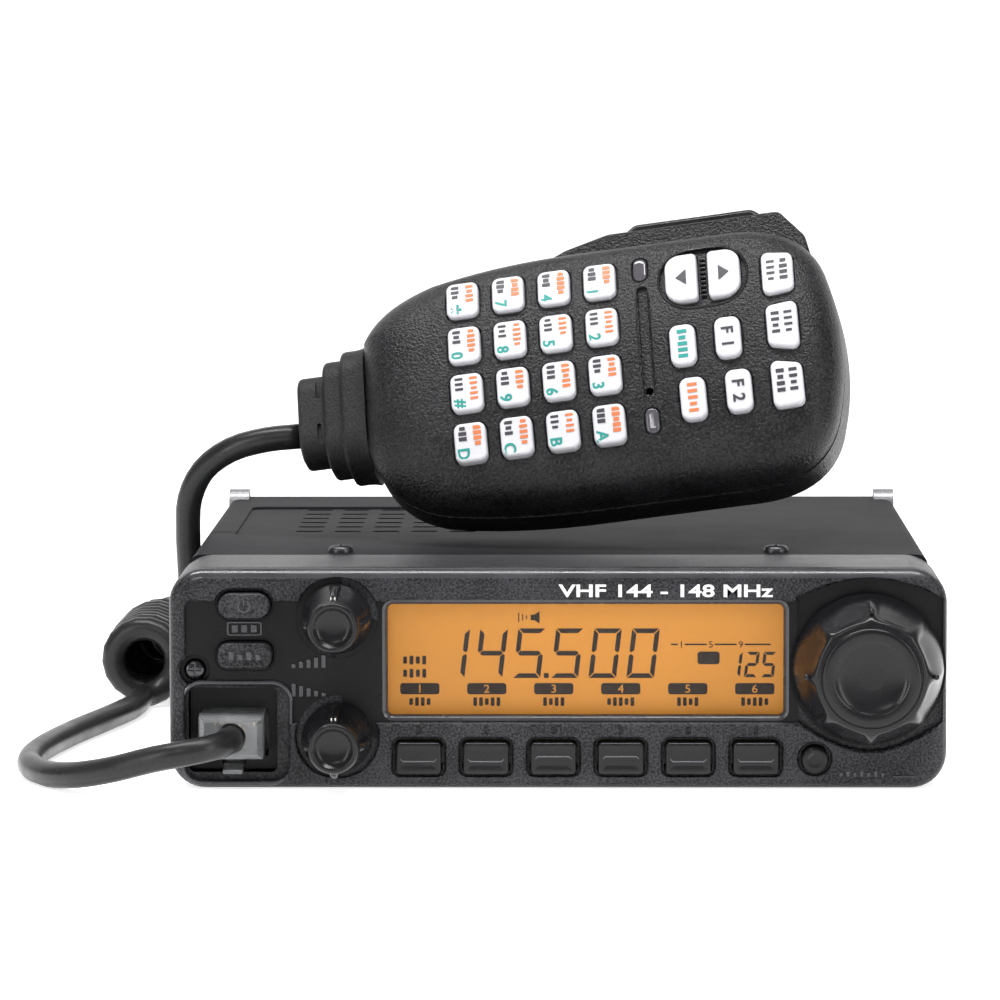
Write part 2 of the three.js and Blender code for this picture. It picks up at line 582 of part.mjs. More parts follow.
function makeMainBoard() {
  const half = CASE_HALF - COVER_SHEET - CAST_WALL - 4;
  const rear = CAST_REAR_Y - GAP;
  const board = box([-half, half], [SPLIT_Y + CAST_WALL + 2, CAST_REAR_Y - 2],
    [MAIN_BOARD_Z, MAIN_BOARD_TOP]);
  const processor = box([2, 18], [-30, -14], [MAIN_BOARD_TOP - 1, MAIN_BOARD_TOP + 2.5]);
  const shield = box([2, 50], [-6, 28], [MAIN_BOARD_TOP - 1, MAIN_BOARD_TOP + 9]);
  const amplifier = box([2, 42], [36, 52], [MAIN_BOARD_TOP - 1, MAIN_BOARD_TOP + 7]);
  const jackBlock = box([SPEAKER_JACK_X - 4, SPEAKER_JACK_X + 4], [rear - 9, rear],
    [MAIN_BOARD_TOP - 1, SPEAKER_JACK_Z + 4]);
  const barrel = rodY(SPEAKER_JACK_X, SPEAKER_JACK_Z, SPEAKER_JACK_RADIUS, rear - 2, FIN_ROOT_Y + 1, 16);
  const bore = rodY(SPEAKER_JACK_X, SPEAKER_JACK_Z, SPEAKER_JACK_RADIUS / 2, rear - 5, FIN_ROOT_Y + 3, 12);
  const body = join(board, processor, shield, amplifier, jackBlock, barrel).subtract(bore);
  return piece('main_board', body, 'board_green');
}

function makeSpeaker() {
  const top = CAST_TOP - GAP;
  const bottom = top - SPEAKER_DEPTH;
  const magnet = SPEAKER_RADIUS / 2;
  const body = turnedZ([
    [0, bottom], [magnet, bottom], [magnet, bottom + 6], [SPEAKER_RADIUS - 2, top - 2],
    [SPEAKER_RADIUS, top - 2], [SPEAKER_RADIUS, top], [SPEAKER_RADIUS - 3, top],
    [magnet / 2, top - 6], [0, top - 5],
  ], SPEAKER_X, SPEAKER_Y, 28);
  return piece('speaker', body, 'rubber');
}

function makeAntennaConnector() {
  const flange = FIN_ROOT_Y + GAP;
  const end = REAR_Y + ANTENNA_LENGTH - 4;
  let body = join(
    rodY(ANTENNA_X, ANTENNA_Z, 5, CAST_REAR_Y - 6, flange + 1),
    box([ANTENNA_X - 11, ANTENNA_X + 11], [flange, flange + 2], [ANTENNA_Z - 11, ANTENNA_Z + 11]),
    rodY(ANTENNA_X, ANTENNA_Z, ANTENNA_RADIUS, flange + 1, end, 28),
  );
  body = body.subtract(rodY(ANTENNA_X, ANTENNA_Z, ANTENNA_RADIUS - 1.6, flange + 8, end + 2, 24));
  body = body.add(rodY(ANTENNA_X, ANTENNA_Z, 2.4, flange + 7, end - 2, 12));
  return piece('antenna_connector', body, 'plated');
}

function makePowerGland() {
  const flange = FIN_ROOT_Y + GAP;
  let body = join(
    rodY(GLAND_X, GLAND_Z, GLAND_RADIUS - 1, CAST_REAR_Y - 2, flange + 1),
    rodY(GLAND_X, GLAND_Z, GLAND_RADIUS + 1, flange, flange + 2),
    rodY(GLAND_X, GLAND_Z, GLAND_RADIUS, flange + 1, flange + 8),
  );
  body = body.subtract(rodY(GLAND_X, GLAND_Z, 2.4, CAST_REAR_Y - 4, flange + 10, 12));
  return piece('power_gland', body, 'rubber');
}

// ---- hand microphone ---------------------------------------------------------------------

// The outline seen from the front, in x and z.
function micOutline() {
  const end = MIC_LENGTH / 2;
  const half = MIC_WIDTH / 2;
  const shape = new THREE.Shape();
  const neck = half * 0.44;
  shape.moveTo(-end, NECK_Z - neck);
  shape.lineTo(-end, NECK_Z + neck);
  shape.quadraticCurveTo(-end + 3, half * 0.77, -end + 13, half * 0.89);
  shape.quadraticCurveTo(-end + 26, half, -end + 42, half);
  shape.lineTo(end - 19, half);
  shape.quadraticCurveTo(end - 4, half, end - 1.6, half * 0.5);
  shape.quadraticCurveTo(end + 1.6, 0, end - 1.6, -half * 0.5);
  shape.quadraticCurveTo(end - 4, -half, end - 19, -half);
  shape.lineTo(-end + 42, -half);
  shape.quadraticCurveTo(-end + 26, -half, -end + 13, -half * 0.89);
  shape.quadraticCurveTo(-end + 3, -half * 0.77, -end, NECK_Z - neck);
  return shape;
}

// The cross-section, in y and z, with a crowned face.
function micSection() {
  const deep = MIC_THICKNESS / 2;
  const half = MIC_WIDTH / 2;
  const shape = new THREE.Shape();
  const edge = [-deep + FACE_CROWN, half * FACE_EDGE];
  shape.moveTo(edge[0], -edge[1]);
  shape.quadraticCurveTo(-deep - FACE_CROWN, 0, edge[0], edge[1]);
  shape.quadraticCurveTo(-deep + 3, half * 0.96, -deep + 8, half * 0.985);
  shape.lineTo(-2, half);
  shape.quadraticCurveTo(deep * 0.35, half * 0.9, deep * 0.7, half * 0.7);
  shape.quadraticCurveTo(deep, half * 0.56, deep, half * 0.42);
  shape.lineTo(deep, -half * 0.42);
  shape.quadraticCurveTo(deep, -half * 0.56, deep * 0.7, -half * 0.7);
  shape.quadraticCurveTo(deep * 0.35, -half * 0.9, -2, -half);
  shape.lineTo(-deep + 8, -half * 0.985);
  shape.quadraticCurveTo(-deep + 3, -half * 0.96, edge[0], -edge[1]);
  return shape;
}

// The side profile, in x and y, which rounds both ends.
function micProfile() {
  const end = MIC_LENGTH / 2;
  const deep = MIC_THICKNESS / 2 + 0.2;
  const shape = new THREE.Shape();
  shape.moveTo(-end - 1, -deep * 0.56);
  shape.quadraticCurveTo(-end + 2, -deep, -end + 11, -deep);
  shape.lineTo(end - 7, -deep);
  shape.quadraticCurveTo(end - 0.5, -deep, end + 1, -deep * 0.5);
  shape.lineTo(end + 1, deep * 0.5);
  shape.quadraticCurveTo(end - 1, deep, end - 10, deep);
  shape.lineTo(-end + 12, deep);
  shape.quadraticCurveTo(-end + 2, deep, -end - 1, deep * 0.56);
  return shape;
}

function micBody(inset, detail) {
  const outline = prismY(micOutline(), -MIC_THICKNESS, MIC_THICKNESS, detail);
  const section = prismX(micSection(), -MIC_LENGTH, MIC_LENGTH, detail);
  const profile = prismZ(micProfile(), -MIC_WIDTH, MIC_WIDTH, detail);
  const scale = [MIC_LENGTH, MIC_THICKNESS, MIC_WIDTH].map((size) => 1 - (2 * inset) / size);
  for (const geometry of [outline, section, profile]) geometry.scale(...scale);
  return solid(outline).intersect(solid(section)).intersect(solid(profile));
}

// How far behind the crown's top the face lies at z.
function faceDrop(z) {
  return FACE_CROWN * (z / (FACE_EDGE * MIC_WIDTH / 2)) ** 2;
}

const MIC_KEYS = [];
const KEYPAD_NAMES = [
  ['star', '7', '4', '1'],
  ['0', '8', '5', '2'],
  ['pound', '9', '6', '3'],
  ['d', 'c', 'b', 'a'],
];
KEYPAD_NAMES.forEach((row, rowIndex) => {
  row.forEach((label, column) => {
    MIC_KEYS.push({
      name: `keypad_key_${label}`,
      x: KEYPAD_X + (column - 1.5) * KEYPAD_PITCH[0],
      z: KEYPAD_Z + (1.5 - rowIndex) * KEYPAD_PITCH[1],
      width: KEYPAD_KEY[0],
      height: KEYPAD_KEY[1],
      corner: 1.4,
    });
  });
});
const ARROW_Z = 14.6;
const ARROW_KEY = [6, 10.2];
const DOWN_KEY_X = 17.0;
const UP_KEY_X = 25.1;
for (const [name, x] of [['down_key', DOWN_KEY_X], ['up_key', UP_KEY_X]]) {
  MIC_KEYS.push({ name, x, z: ARROW_Z, width: ARROW_KEY[0], height: ARROW_KEY[1], corner: 2.6 });
}
const SMALL_KEY = [4.8, 8.2];
const SMALL_KEY_PLACES = [[16.5, 0.4], [25.0, 0.8], [17.6, -10.5], [26.2, -10.1]];
SMALL_KEY_PLACES.forEach(([x, z], i) => {
  MIC_KEYS.push({ name: `small_key_${i + 1}`, x, z, width: SMALL_KEY[0], height: SMALL_KEY[1], corner: 1.6 });
});
const SIDE_KEY = [5.8, 9.4];
const SIDE_KEY_PLACES = [[35.1, 13.1], [35.3, 1.9], [35.3, -9.8]];
SIDE_KEY_PLACES.forEach(([x, z], i) => {
  MIC_KEYS.push({ name: `side_key_${i + 1}`, x, z, width: SIDE_KEY[0], height: SIDE_KEY[1], corner: 1.4 });
});

const MIC_FACE = -MIC_THICKNESS / 2;
const KEY_REAR = MIC_FACE + MIC_KEY_ROOT;
const MIC_BOARD_Y = KEY_REAR + MIC_BOARD_GAP;

function makeMicKey(key) {
  const front = MIC_FACE + faceDrop(key.z) - MIC_KEY_PROUD;
  const cap = prismY(roundedRect(key.x, key.z, key.width, key.height, key.corner), front, KEY_REAR, 1);
  return piece(key.name, solid(cap), 'key_white');
}

function makeMicShells() {
  const shell = micBody(0, 4).subtract(micBody(MIC_WALL, 2));
  const far = 2 * MIC_LENGTH;
  let front = shell.intersect(box([-far, far], [-far, MIC_SPLIT], [-far, far]));
  for (const key of MIC_KEYS) {
    const hole = roundedRect(key.x, key.z, key.width + 2 * SLIDE_FIT, key.height + 2 * SLIDE_FIT,
      key.corner + SLIDE_FIT);
    front = front.subtract(solid(prismY(hole, MIC_FACE - 5, KEY_REAR + 2, 1)));
  }
  // Sound hole in front of the microphone element
  front = front.subtract(rodY(SOUND_HOLE_X, SOUND_HOLE_Z, 0.9, MIC_FACE - 5, KEY_REAR, 10));

  const rearSplit = MIC_SPLIT + GAP;
  let back = shell.intersect(box([-far, far], [rearSplit, far], [-far, far]));
  // Raised housing round the push-to-talk lever, and the lever's slot
  const housing = new THREE.Shape();
  const wall = MIC_WIDTH / 2 - MIC_WALL + 0.6;
  housing.moveTo(LEVER_START - 19, wall);
  housing.quadraticCurveTo(LEVER_START - 12, HOUSING_TOP - 0.6, LEVER_START - 3, HOUSING_TOP);
  housing.lineTo(LEVER_END + 2.5, HOUSING_TOP);
  housing.lineTo(LEVER_END + 4.2, wall - 1);
  back = back.add(solid(prismY(housing, rearSplit, LEVER_BACK + 2.7)));
  back = back.subtract(box([LEVER_START - SLIDE_FIT, LEVER_END + SLIDE_FIT],
    [LEVER_FRONT - SLIDE_FIT, LEVER_BACK + SLIDE_FIT], [wall - 8, LEVER_TOP + 5]));
  // Hanger stud
  const deep = MIC_THICKNESS / 2;
  const stud = turnedY([[0, deep - 1], [STUD_RADIUS - 2, deep - 1], [STUD_RADIUS - 2, deep + STUD_HEIGHT - 2],
    [STUD_RADIUS, deep + STUD_HEIGHT - 1.5], [STUD_RADIUS, deep + STUD_HEIGHT], [0, deep + STUD_HEIGHT]], 12, 0);
  back = back.add(stud);
  return [piece('mic_front_shell', front, 'panel_black'), piece('mic_back_shell', back, 'panel_black')];
}

function makeLever() {
  const shape = new THREE.Shape();
  shape.moveTo(LEVER_START, LEVER_BOTTOM);
  shape.lineTo(LEVER_START, LEVER_TOP - 2.2);
  shape.quadraticCurveTo(LEVER_START + 0.4, LEVER_TOP, LEVER_START + 3, LEVER_TOP);
  shape.lineTo(LEVER_END - 4, LEVER_TOP);
  shape.quadraticCurveTo(LEVER_END - 1, LEVER_TOP, LEVER_END, LEVER_TOP - 2.4);
  shape.lineTo(LEVER_END, LEVER_BOTTOM);
  return piece('ptt_lever', solid(prismY(shape, LEVER_FRONT, LEVER_BACK)), 'rubber');
}

function makeMicBoard() {
  const shape = roundedRect(0, 0, MIC_LENGTH - 16, MIC_WIDTH - 16, 8);
  return piece('mic_board', solid(prismY(shape, MIC_BOARD_Y, MIC_BOARD_Y + BOARD_THICKNESS)), 'board_green');
}

function makeMicBoot() {
  let x = -MIC_LENGTH / 2 - GAP;
  let body = null;
  for (const [length, across, depth] of BOOT_STEPS) {
    const step = solid(prismX(roundedRect(0, NECK_Z, depth, across, depth * 0.42), x - length, x + 0.5));
    const trimmed = step.intersect(box([x - length, x + (body ? 0.5 : 0)], [-50, 50], [-50, 50]));
    body = body ? body.add(trimmed) : trimmed;
    x -= length;
  }
  return piece('mic_boot', body, 'rubber');
}

function makeMicrophone() {
  const group = new THREE.Group();
  group.rotation.set(radians(-MIC_LEAN), radians(-MIC_TILT), radians(-MIC_YAW), 'ZYX');
  const shells = makeMicShells();
  group.add(...shells);
  group.add(makeMicBoot(), makeMicBoard(), makeLever());
  for (const key of MIC_KEYS) group.add(makeMicKey(key));
  // Rest the lowest point of the microphone on the cover.
  group.updateMatrixWorld(true);
  let lowest = Infinity;
  for (const mesh of shells) {
    const bounds = new THREE.Box3().setFromObject(mesh, true);
    lowest = Math.min(lowest, bounds.min.z);
  }
  group.position.set(MIC_X, MIC_Y, CASE_HEIGHT + GAP - lowest);
  return group;
}

// ---- cord ---------------------------------------------------------------------------------

const FLOOR_Z = CORD_DIAMETER / 2;

const PLUG_END_ROUTE = [
  [-58.6, -77.8, 9.8],
  [-58.8, -81.8, 9.8],
  [-61.2, -86.4, 9.4],
  [-66.0, -88.6, 8.6],
  [-72.0, -87.2, 7.3],
  [-79.0, -84.0, 5.2],
  [-86.0, -78.5, 3.4],
  [-92.0, -71.0, 2.5],
  [-96.0, -61.0, 2.5],
  [-97.4, -49.0, 2.5],
  [-96.5, -36.0, 2.5],
  [-93.0, -15.0, 2.5],
  [-88.0, 8.0, 2.5],
  [-84.5, 26.0, 2.5],
  [-84.0, 41.7, 2.5],
];

const MIC_END_ROUTE = [
  [-49.4, -10.2, 58.9],
  [-55.8, -9.4, 58.2],
  [-62.8, -7.5, 56.1],
  [-68.2, -4.8, 52.0],
  [-71.0, -2.4, 46.4],
  [-71.6, 0.0, 40.0],
  [-71.5, 4.0, 30.0],
  [-71.5, 10.5, 18.5],
  [-71.6, 20.0, 9.0],
  [-71.8, 31.0, 3.8],
  [-72.0, 43.0, 2.5],
  [-72.2, 58.0, 2.5],
  [-72.2, 68.0, 2.5],
  [-70.8, 73.8, 2.5],
  [-67.0, 77.6, 2.5],
  [-61.0, 79.0, 2.5],
  [-30.0, 79.0, 2.5],
  [10.0, 79.0, 2.5],
  [40.0, 79.0, 2.5],
  [54.0, 79.0, 2.5],
  [61.2, 82.0, 2.5],
  [64.2, 89.0, 2.5],
  [61.0, 96.2, 2.5],
  [50.6, 99.0, 2.5],
];

function coilRoute() {
  const z = COIL_DIAMETER / 2;
  const centreX = COIL_X + COIL_BEND_RADIUS;
  const endY = COIL_CORNER_Y + COIL_BEND_RADIUS;
  const points = [];
  const straight = 4;
  for (let i = 0; i < straight; i += 1) {
    points.push([COIL_X, COIL_START_Y + ((COIL_CORNER_Y - COIL_START_Y) * i) / straight, z]);
  }
  const bend = 6;
  for (let i = 0; i < bend; i += 1) {
    const angle = (Math.PI / 2) * (i / bend);
    points.push([centreX - COIL_BEND_RADIUS * Math.cos(angle), COIL_CORNER_Y + COIL_BEND_RADIUS * Math.sin(angle), z]);
  }
  const back = 8;
  for (let i = 0; i <= back; i += 1) {
    points.push([centreX + ((COIL_END_X - centreX) * i) / back, endY, z]);
  }
  return points;
}

function makeCord() {
  return [
    piece('cord_plug_end', tube(PLUG_END_ROUTE, CORD_DIAMETER, 8, 24), 'cord_black'),
    piece('cord_coil', tube(coilRoute(), COIL_DIAMETER, 12, 24), 'cord_black'),
    piece('cord_mic_end', tube(MIC_END_ROUTE, CORD_DIAMETER, 8, 38), 'cord_black'),
  ];
}

// ---- the assembly -----------------------------------------------------------------------

const transceiver = new THREE.Group();
transceiver.add(makeChassis(), makeTopCover(), makeFrontPanel());
transceiver.add(...makeDisplay());
transceiver.add(makeControlBoard(), makeMainBoard(), makeSpeaker());
const dialShaftFront = DIAL_WELL_Y - GAP - DIAL_LENGTH + 5 + GAP;
const knobShaftFront = BAND_Y - GAP - KNOB_LENGTH + 5 + GAP;
transceiver.add(
  makeRotary('dial_encoder', DIAL_X, DIAL_Z, 12, dialShaftFront),
  makeRotary('volume_pot', KNOB_X, VOLUME_Z, 9.5, knobShaftFront),
  makeRotary('squelch_pot', KNOB_X, SQUELCH_Z, 9.5, knobShaftFront),
);
transceiver.add(makeMicJack(), makeMicPlug(), makeAntennaConnector(), makePowerGland());
transceiver.add(makeDial(), makeKnob('volume_knob', VOLUME_Z), makeKnob('squelch_knob', SQUELCH_Z));
for (const key of PANEL_KEYS) transceiver.add(makePanelKey(key));
transceiver.add(makeMicrophone());
transceiver.add(...makeCord());

export default transceiver;
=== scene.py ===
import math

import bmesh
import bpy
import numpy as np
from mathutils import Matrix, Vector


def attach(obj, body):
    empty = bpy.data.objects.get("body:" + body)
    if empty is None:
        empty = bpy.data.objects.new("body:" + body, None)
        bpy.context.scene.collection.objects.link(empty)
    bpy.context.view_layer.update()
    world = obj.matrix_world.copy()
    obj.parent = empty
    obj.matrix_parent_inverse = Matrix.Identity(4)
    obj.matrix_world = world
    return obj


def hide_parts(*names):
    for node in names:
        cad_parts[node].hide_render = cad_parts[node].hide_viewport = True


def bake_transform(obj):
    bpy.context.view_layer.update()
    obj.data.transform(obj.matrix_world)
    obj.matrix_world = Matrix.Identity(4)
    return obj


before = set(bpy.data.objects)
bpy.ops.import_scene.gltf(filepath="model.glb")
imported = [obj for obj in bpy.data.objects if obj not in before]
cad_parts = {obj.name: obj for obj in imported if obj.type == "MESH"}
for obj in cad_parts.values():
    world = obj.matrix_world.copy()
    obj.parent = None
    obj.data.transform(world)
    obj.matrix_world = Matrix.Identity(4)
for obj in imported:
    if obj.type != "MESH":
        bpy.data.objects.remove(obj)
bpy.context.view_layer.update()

# %% [markdown]
# # A mobile transceiver with its hand microphone
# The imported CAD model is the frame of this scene. It holds the sizes, the joints and the inner parts.
# Each piece that shows is made again here with the roundings, wells and marks of a moulded or cast part,
# and then it takes its CAD node's place. Lengths in this file are millimetres, which is how such a radio
# is drawn, and one helper turns them into Blender's metres. Modelling straight in metres would also work,
# but the numbers would be harder to read.

MM = 0.001


def box_mm(node, into=None):
    """A CAD node's lowest and highest corners in millimetres, in the world or in another frame."""
    points = [vertex.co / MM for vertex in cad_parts[node].data.vertices]
    if into is not None:
        points = [into @ point for point in points]
    columns = np.array(points)
    return Vector(columns.min(0)), Vector(columns.max(0))


# %% [markdown]
# ## The camera
# The view is a product shot from far away with a long lens, a little above the panel and nearly straight
# in front of it. A long lens keeps the panel's edges parallel. A short lens from nearby would frame the
# radio just as well, but its top cover would then seem to widen towards the back.

# %% Camera
CAMERA_PLACE = (0.00505, -1.05893, 0.14045)
CAMERA_PITCH = 5.108
CAMERA_YAW = 0.893
CAMERA_ROLL = -0.10
CAMERA_LENS = 198.9
SENSOR_WIDTH, NEAR_CLIP = 36, 0.05

camera = bpy.data.objects.new("camera", bpy.data.cameras.new("camera"))
bpy.context.scene.collection.objects.link(camera)
camera.data.sensor_width = SENSOR_WIDTH
camera.data.lens = CAMERA_LENS
camera.data.clip_start = NEAR_CLIP
turn = Matrix.Rotation(math.radians(CAMERA_YAW), 4, "Z")
turn = turn @ Matrix.Rotation(math.radians(90 - CAMERA_PITCH), 4, "X")
turn = turn @ Matrix.Rotation(math.radians(CAMERA_ROLL), 4, "Z")
camera.matrix_world = Matrix.Translation(CAMERA_PLACE) @ turn
bpy.context.scene.camera = camera
print("camera: lens", CAMERA_LENS, "mm,", round(-CAMERA_PLACE[1], 2), "m in front")

# %% [markdown]
# ## Light and floor
# A long narrow soft box hangs above and a little in front, because the panel's top edge and the knobs
# carry one long highlight. A second one lights the faces, two tall ones at the sides draw the vertical
# edges, and a pale sky fills the shadows. The boxes are narrow, so that the black plastic stays black. One
# small lamp would be simpler, but black plastic under a small lamp shows only a few hard sparks.

# %% Studio
def area_light(name, place, size, power):
    """A soft box that looks at STUDIO_AIM. Its place and size are in metres, its power in watts."""
    light = bpy.data.objects.new(name, bpy.data.lights.new(name, "AREA"))
    light.data.shape = "RECTANGLE"
    light.data.size, light.data.size_y = size
    light.data.energy = power
    light.location = place
    light.rotation_euler = (Vector(STUDIO_AIM) - Vector(place)).to_track_quat("-Z", "Y").to_euler()
    bpy.context.scene.collection.objects.link(light)


STUDIO_AIM = (0, 0, 0.03)
SKY_STRENGTH = 0.30
area_light("top_box", (-0.05, -0.12, 0.75), (0.9, 0.11), 8.0)
area_light("front_box", (-0.35, -1.1, 0.80), (0.4, 0.10), 1.8)
area_light("left_box", (-0.70, -0.62, 0.30), (0.07, 0.6), 2.4)
area_light("right_box", (0.70, -0.62, 0.30), (0.07, 0.6), 2.4)

world = bpy.data.worlds.new("pale_sky")
world.use_nodes = True
sky = world.node_tree.nodes["Background"].inputs
sky["Color"].default_value = (1, 1, 1, 1)
sky["Strength"].default_value = SKY_STRENGTH
bpy.context.scene.world = world
bpy.context.scene.view_settings.view_transform = "Standard"

floor_mesh = bpy.data.meshes.new("floor")
FLOOR_HALF = 3.0
FLOOR_ROWS = [(-3.0, 0.0), (1.2, 0.0), (1.7, 0.06), (2.05, 0.35), (2.2, 0.9), (2.2, 2.5)]
floor_points = [(x, y, z) for y, z in FLOOR_ROWS for x in (-FLOOR_HALF, FLOOR_HALF)]
floor_faces = [(2 * i, 2 * i + 1, 2 * i + 3, 2 * i + 2) for i in range(len(FLOOR_ROWS) - 1)]
floor_mesh.from_pydata(floor_points, [], floor_faces)
for polygon in floor_mesh.polygons:
    polygon.use_smooth = True
floor = bpy.data.objects.new("floor", floor_mesh)
bpy.context.scene.collection.objects.link(floor)
print("studio: 4 soft boxes and a curved floor")

# %% [markdown]
# ## Finishes
# A radio has few finishes: grained plastic on the mouldings, smooth plastic on keys and knobs, paint on
# the cover, bare cast metal, rubber, clear plastic, plated metal and printed boards. One function makes
# them all, because they differ only in their numbers. Noise moves the colour a little, a finer noise
# makes the grain, and a bump turns it into relief. On the panel mouldings the finer noise swings the colour
# hard, part grain and part painted glints. An image of grain would repeat and need unwrapping.

# %% Material maker
CLOUD_SIZE, CLOUD_SHARE, FINE_SHARE = 9, 0.25, 0.75
COLOUR_BAND, GLOSS_BAND = (0.42, 0.60), (0.3, 0.7)
FINISHES = {}


def set_inputs(node, **values):
    """Sets a node's sockets by name. An underscore stands for a space."""
    for socket, value in values.items():
        node.inputs[socket.replace("_", " ")].default_value = value
    return node


def finish(name, colour, rough, grain=0.0, grain_size=0.4, shade=0.12, spread=0.08, **sockets):
    """A procedural finish: grain in mm of relief, grain_size in mm, shade and spread as shares."""
    material = bpy.data.materials.new(name)
    material.use_nodes = True
    nodes, links = material.node_tree.nodes, material.node_tree.links
    shader = set_inputs(nodes["Principled BSDF"], **sockets)
    place = nodes.new("ShaderNodeTexCoord")
    cloud = set_inputs(nodes.new("ShaderNodeTexNoise"), Scale=1 / (CLOUD_SIZE * MM), Detail=3)
    fine = set_inputs(nodes.new("ShaderNodeTexNoise"), Scale=1 / (grain_size * MM), Detail=2)
    for texture in (cloud, fine):
        links.new(place.outputs["Object"], texture.inputs["Vector"])
    mixed, scaled = nodes.new("ShaderNodeMath"), nodes.new("ShaderNodeMath")
    mixed.operation, scaled.operation = "MULTIPLY_ADD", "MULTIPLY"
    mixed.inputs[1].default_value, scaled.inputs[1].default_value = FINE_SHARE, CLOUD_SHARE
    links.new(fine.outputs["Fac"], mixed.inputs[0])
    links.new(cloud.outputs["Fac"], scaled.inputs[0])
    links.new(scaled.outputs[0], mixed.inputs[2])
    ramp = nodes.new("ShaderNodeValToRGB")
    for element, position, share in zip(ramp.color_ramp.elements, COLOUR_BAND, (1 - shade, 1 + shade)):
        element.position = position
        element.color = (*[min(1, channel * share) for channel in colour], 1)
    links.new(mixed.outputs[0], ramp.inputs[0])
    links.new(ramp.outputs[0], shader.inputs["Base Color"])
    gloss = set_inputs(nodes.new("ShaderNodeMapRange"), From_Min=GLOSS_BAND[0], From_Max=GLOSS_BAND[1],
                       To_Min=max(0.02, rough - spread), To_Max=min(1, rough + spread))
    links.new(cloud.outputs["Fac"], gloss.inputs["Value"])
    links.new(gloss.outputs[0], shader.inputs["Roughness"])
    if grain:
        bump = set_inputs(nodes.new("ShaderNodeBump"), Strength=1, Distance=grain * MM)
        links.new(fine.outputs["Fac"], bump.inputs["Height"])
        links.new(bump.outputs[0], shader.inputs["Normal"])
    FINISHES[name] = material


# The panel's strong speckle is part grain and part painted glints, which stand in for sparkle off the grain.
finish("grain_and_painted_glint_plastic", (0.022, 0.022, 0.025), 0.34, grain=0.14, grain_size=0.38, shade=0.85,
       spread=0.03, Specular_IOR_Level=0.26)
finish("band_plastic", (0.007, 0.007, 0.008), 0.34, grain=0.02, grain_size=0.25, Specular_IOR_Level=0.14)
finish("knob_plastic", (0.008, 0.008, 0.009), 0.24, grain=0.012, grain_size=0.25, Specular_IOR_Level=0.26)
# A lighter grey that paints a highlight on chamfers, rims and relief, where the same black plastic would catch the
# light.
finish("painted_highlight_plastic", (0.035, 0.035, 0.040), 0.26, grain=0.01, grain_size=0.3)
finish("mark_plastic", (0.11, 0.11, 0.12), 0.28, shade=0.05)
finish("case_paint", (0.014, 0.0135, 0.0155), 0.58, grain=0.03, grain_size=0.5, shade=0.2,
       spread=0.02, Specular_IOR_Level=0.05)
finish("cast_metal", (0.30, 0.30, 0.31), 0.45, grain=0.05, grain_size=0.6, Metallic=0.9)
finish("plated_metal", (0.62, 0.61, 0.58), 0.28, grain=0.004, Metallic=1.0)
finish("dark_metal", (0.07, 0.07, 0.075), 0.32, grain=0.004, Metallic=1.0)
finish("contact_gold", (0.75, 0.52, 0.20), 0.25, grain=0.003, Metallic=1.0)
finish("key_white", (0.56, 0.56, 0.59), 0.42, grain=0.01, grain_size=0.3, shade=0.03)
finish("soft_rubber", (0.014, 0.014, 0.015), 0.52, grain=0.14, grain_size=0.42, shade=0.4, Specular_IOR_Level=0.22)
finish("handset_plastic", (0.011, 0.011, 0.012), 0.32, grain=0.24, grain_size=0.46, shade=0.75,
       spread=0.03, Specular_IOR_Level=0.24)
finish("cord_jacket", (0.014, 0.014, 0.015), 0.34, grain=0.01, grain_size=0.5, shade=0.15, Specular_IOR_Level=0.26)
finish("board_green", (0.02, 0.10, 0.045), 0.45, grain=0.03, grain_size=1.1, shade=0.4)
finish("speaker_paper", (0.03, 0.03, 0.03), 0.85, grain=0.08, grain_size=0.5)
finish("lamp_lens", (0.07, 0.065, 0.075), 0.12, grain=0.0, shade=0.05)
finish("print_white", (0.80, 0.80, 0.80), 0.5, shade=0.03)
finish("print_dark", (0.025, 0.025, 0.03), 0.5, shade=0.05)
finish("print_teal", (0.005, 0.24, 0.21), 0.5, shade=0.05)
finish("print_orange", (0.60, 0.15, 0.04), 0.5, shade=0.05)
finish("display_mark", (0.022, 0.010, 0.004), 0.5, shade=0.05)
finish("display_amber", (0.58, 0.235, 0.028), 0.5, grain_size=0.8, shade=0.02,
       Emission_Color=(0.66, 0.27, 0.040, 1), Emission_Strength=0.40)
finish("clear_lens", (0.02, 0.02, 0.02), 0.06, spread=0.02, Alpha=0.10, Specular_IOR_Level=0.2)
finish("clear_plug", (0.86, 0.88, 0.90), 0.10, spread=0.03, shade=0.02, Transmission_Weight=0.86, IOR=1.49)
finish("floor_paper", (0.86, 0.86, 0.86), 0.85, grain_size=3, shade=0.01,
       Emission_Color=(1, 1, 1, 1), Emission_Strength=0.72)
floor.data.materials.append(FINISHES["floor_paper"])
print("finishes:", len(FINISHES))

# %% [markdown]
# ## Lofts, wells and cuts
# Nearly every moulded part is a stack of outlines. Each ring of the stack has the same number of points
# and its own depth and growth, so a rounding is a few rings along a quarter circle. A bevel on a finished
# mesh would be quicker to write, but it breaks where a well crosses a step. A well is the same stack used
# as a cutter, with its mouth flared, so the edge that it leaves is already round.

# %% Outline and loft helpers
LEAST_RADIUS = 0.02
FLARE_STEPS, FLARE_SWEEP = 4, 72


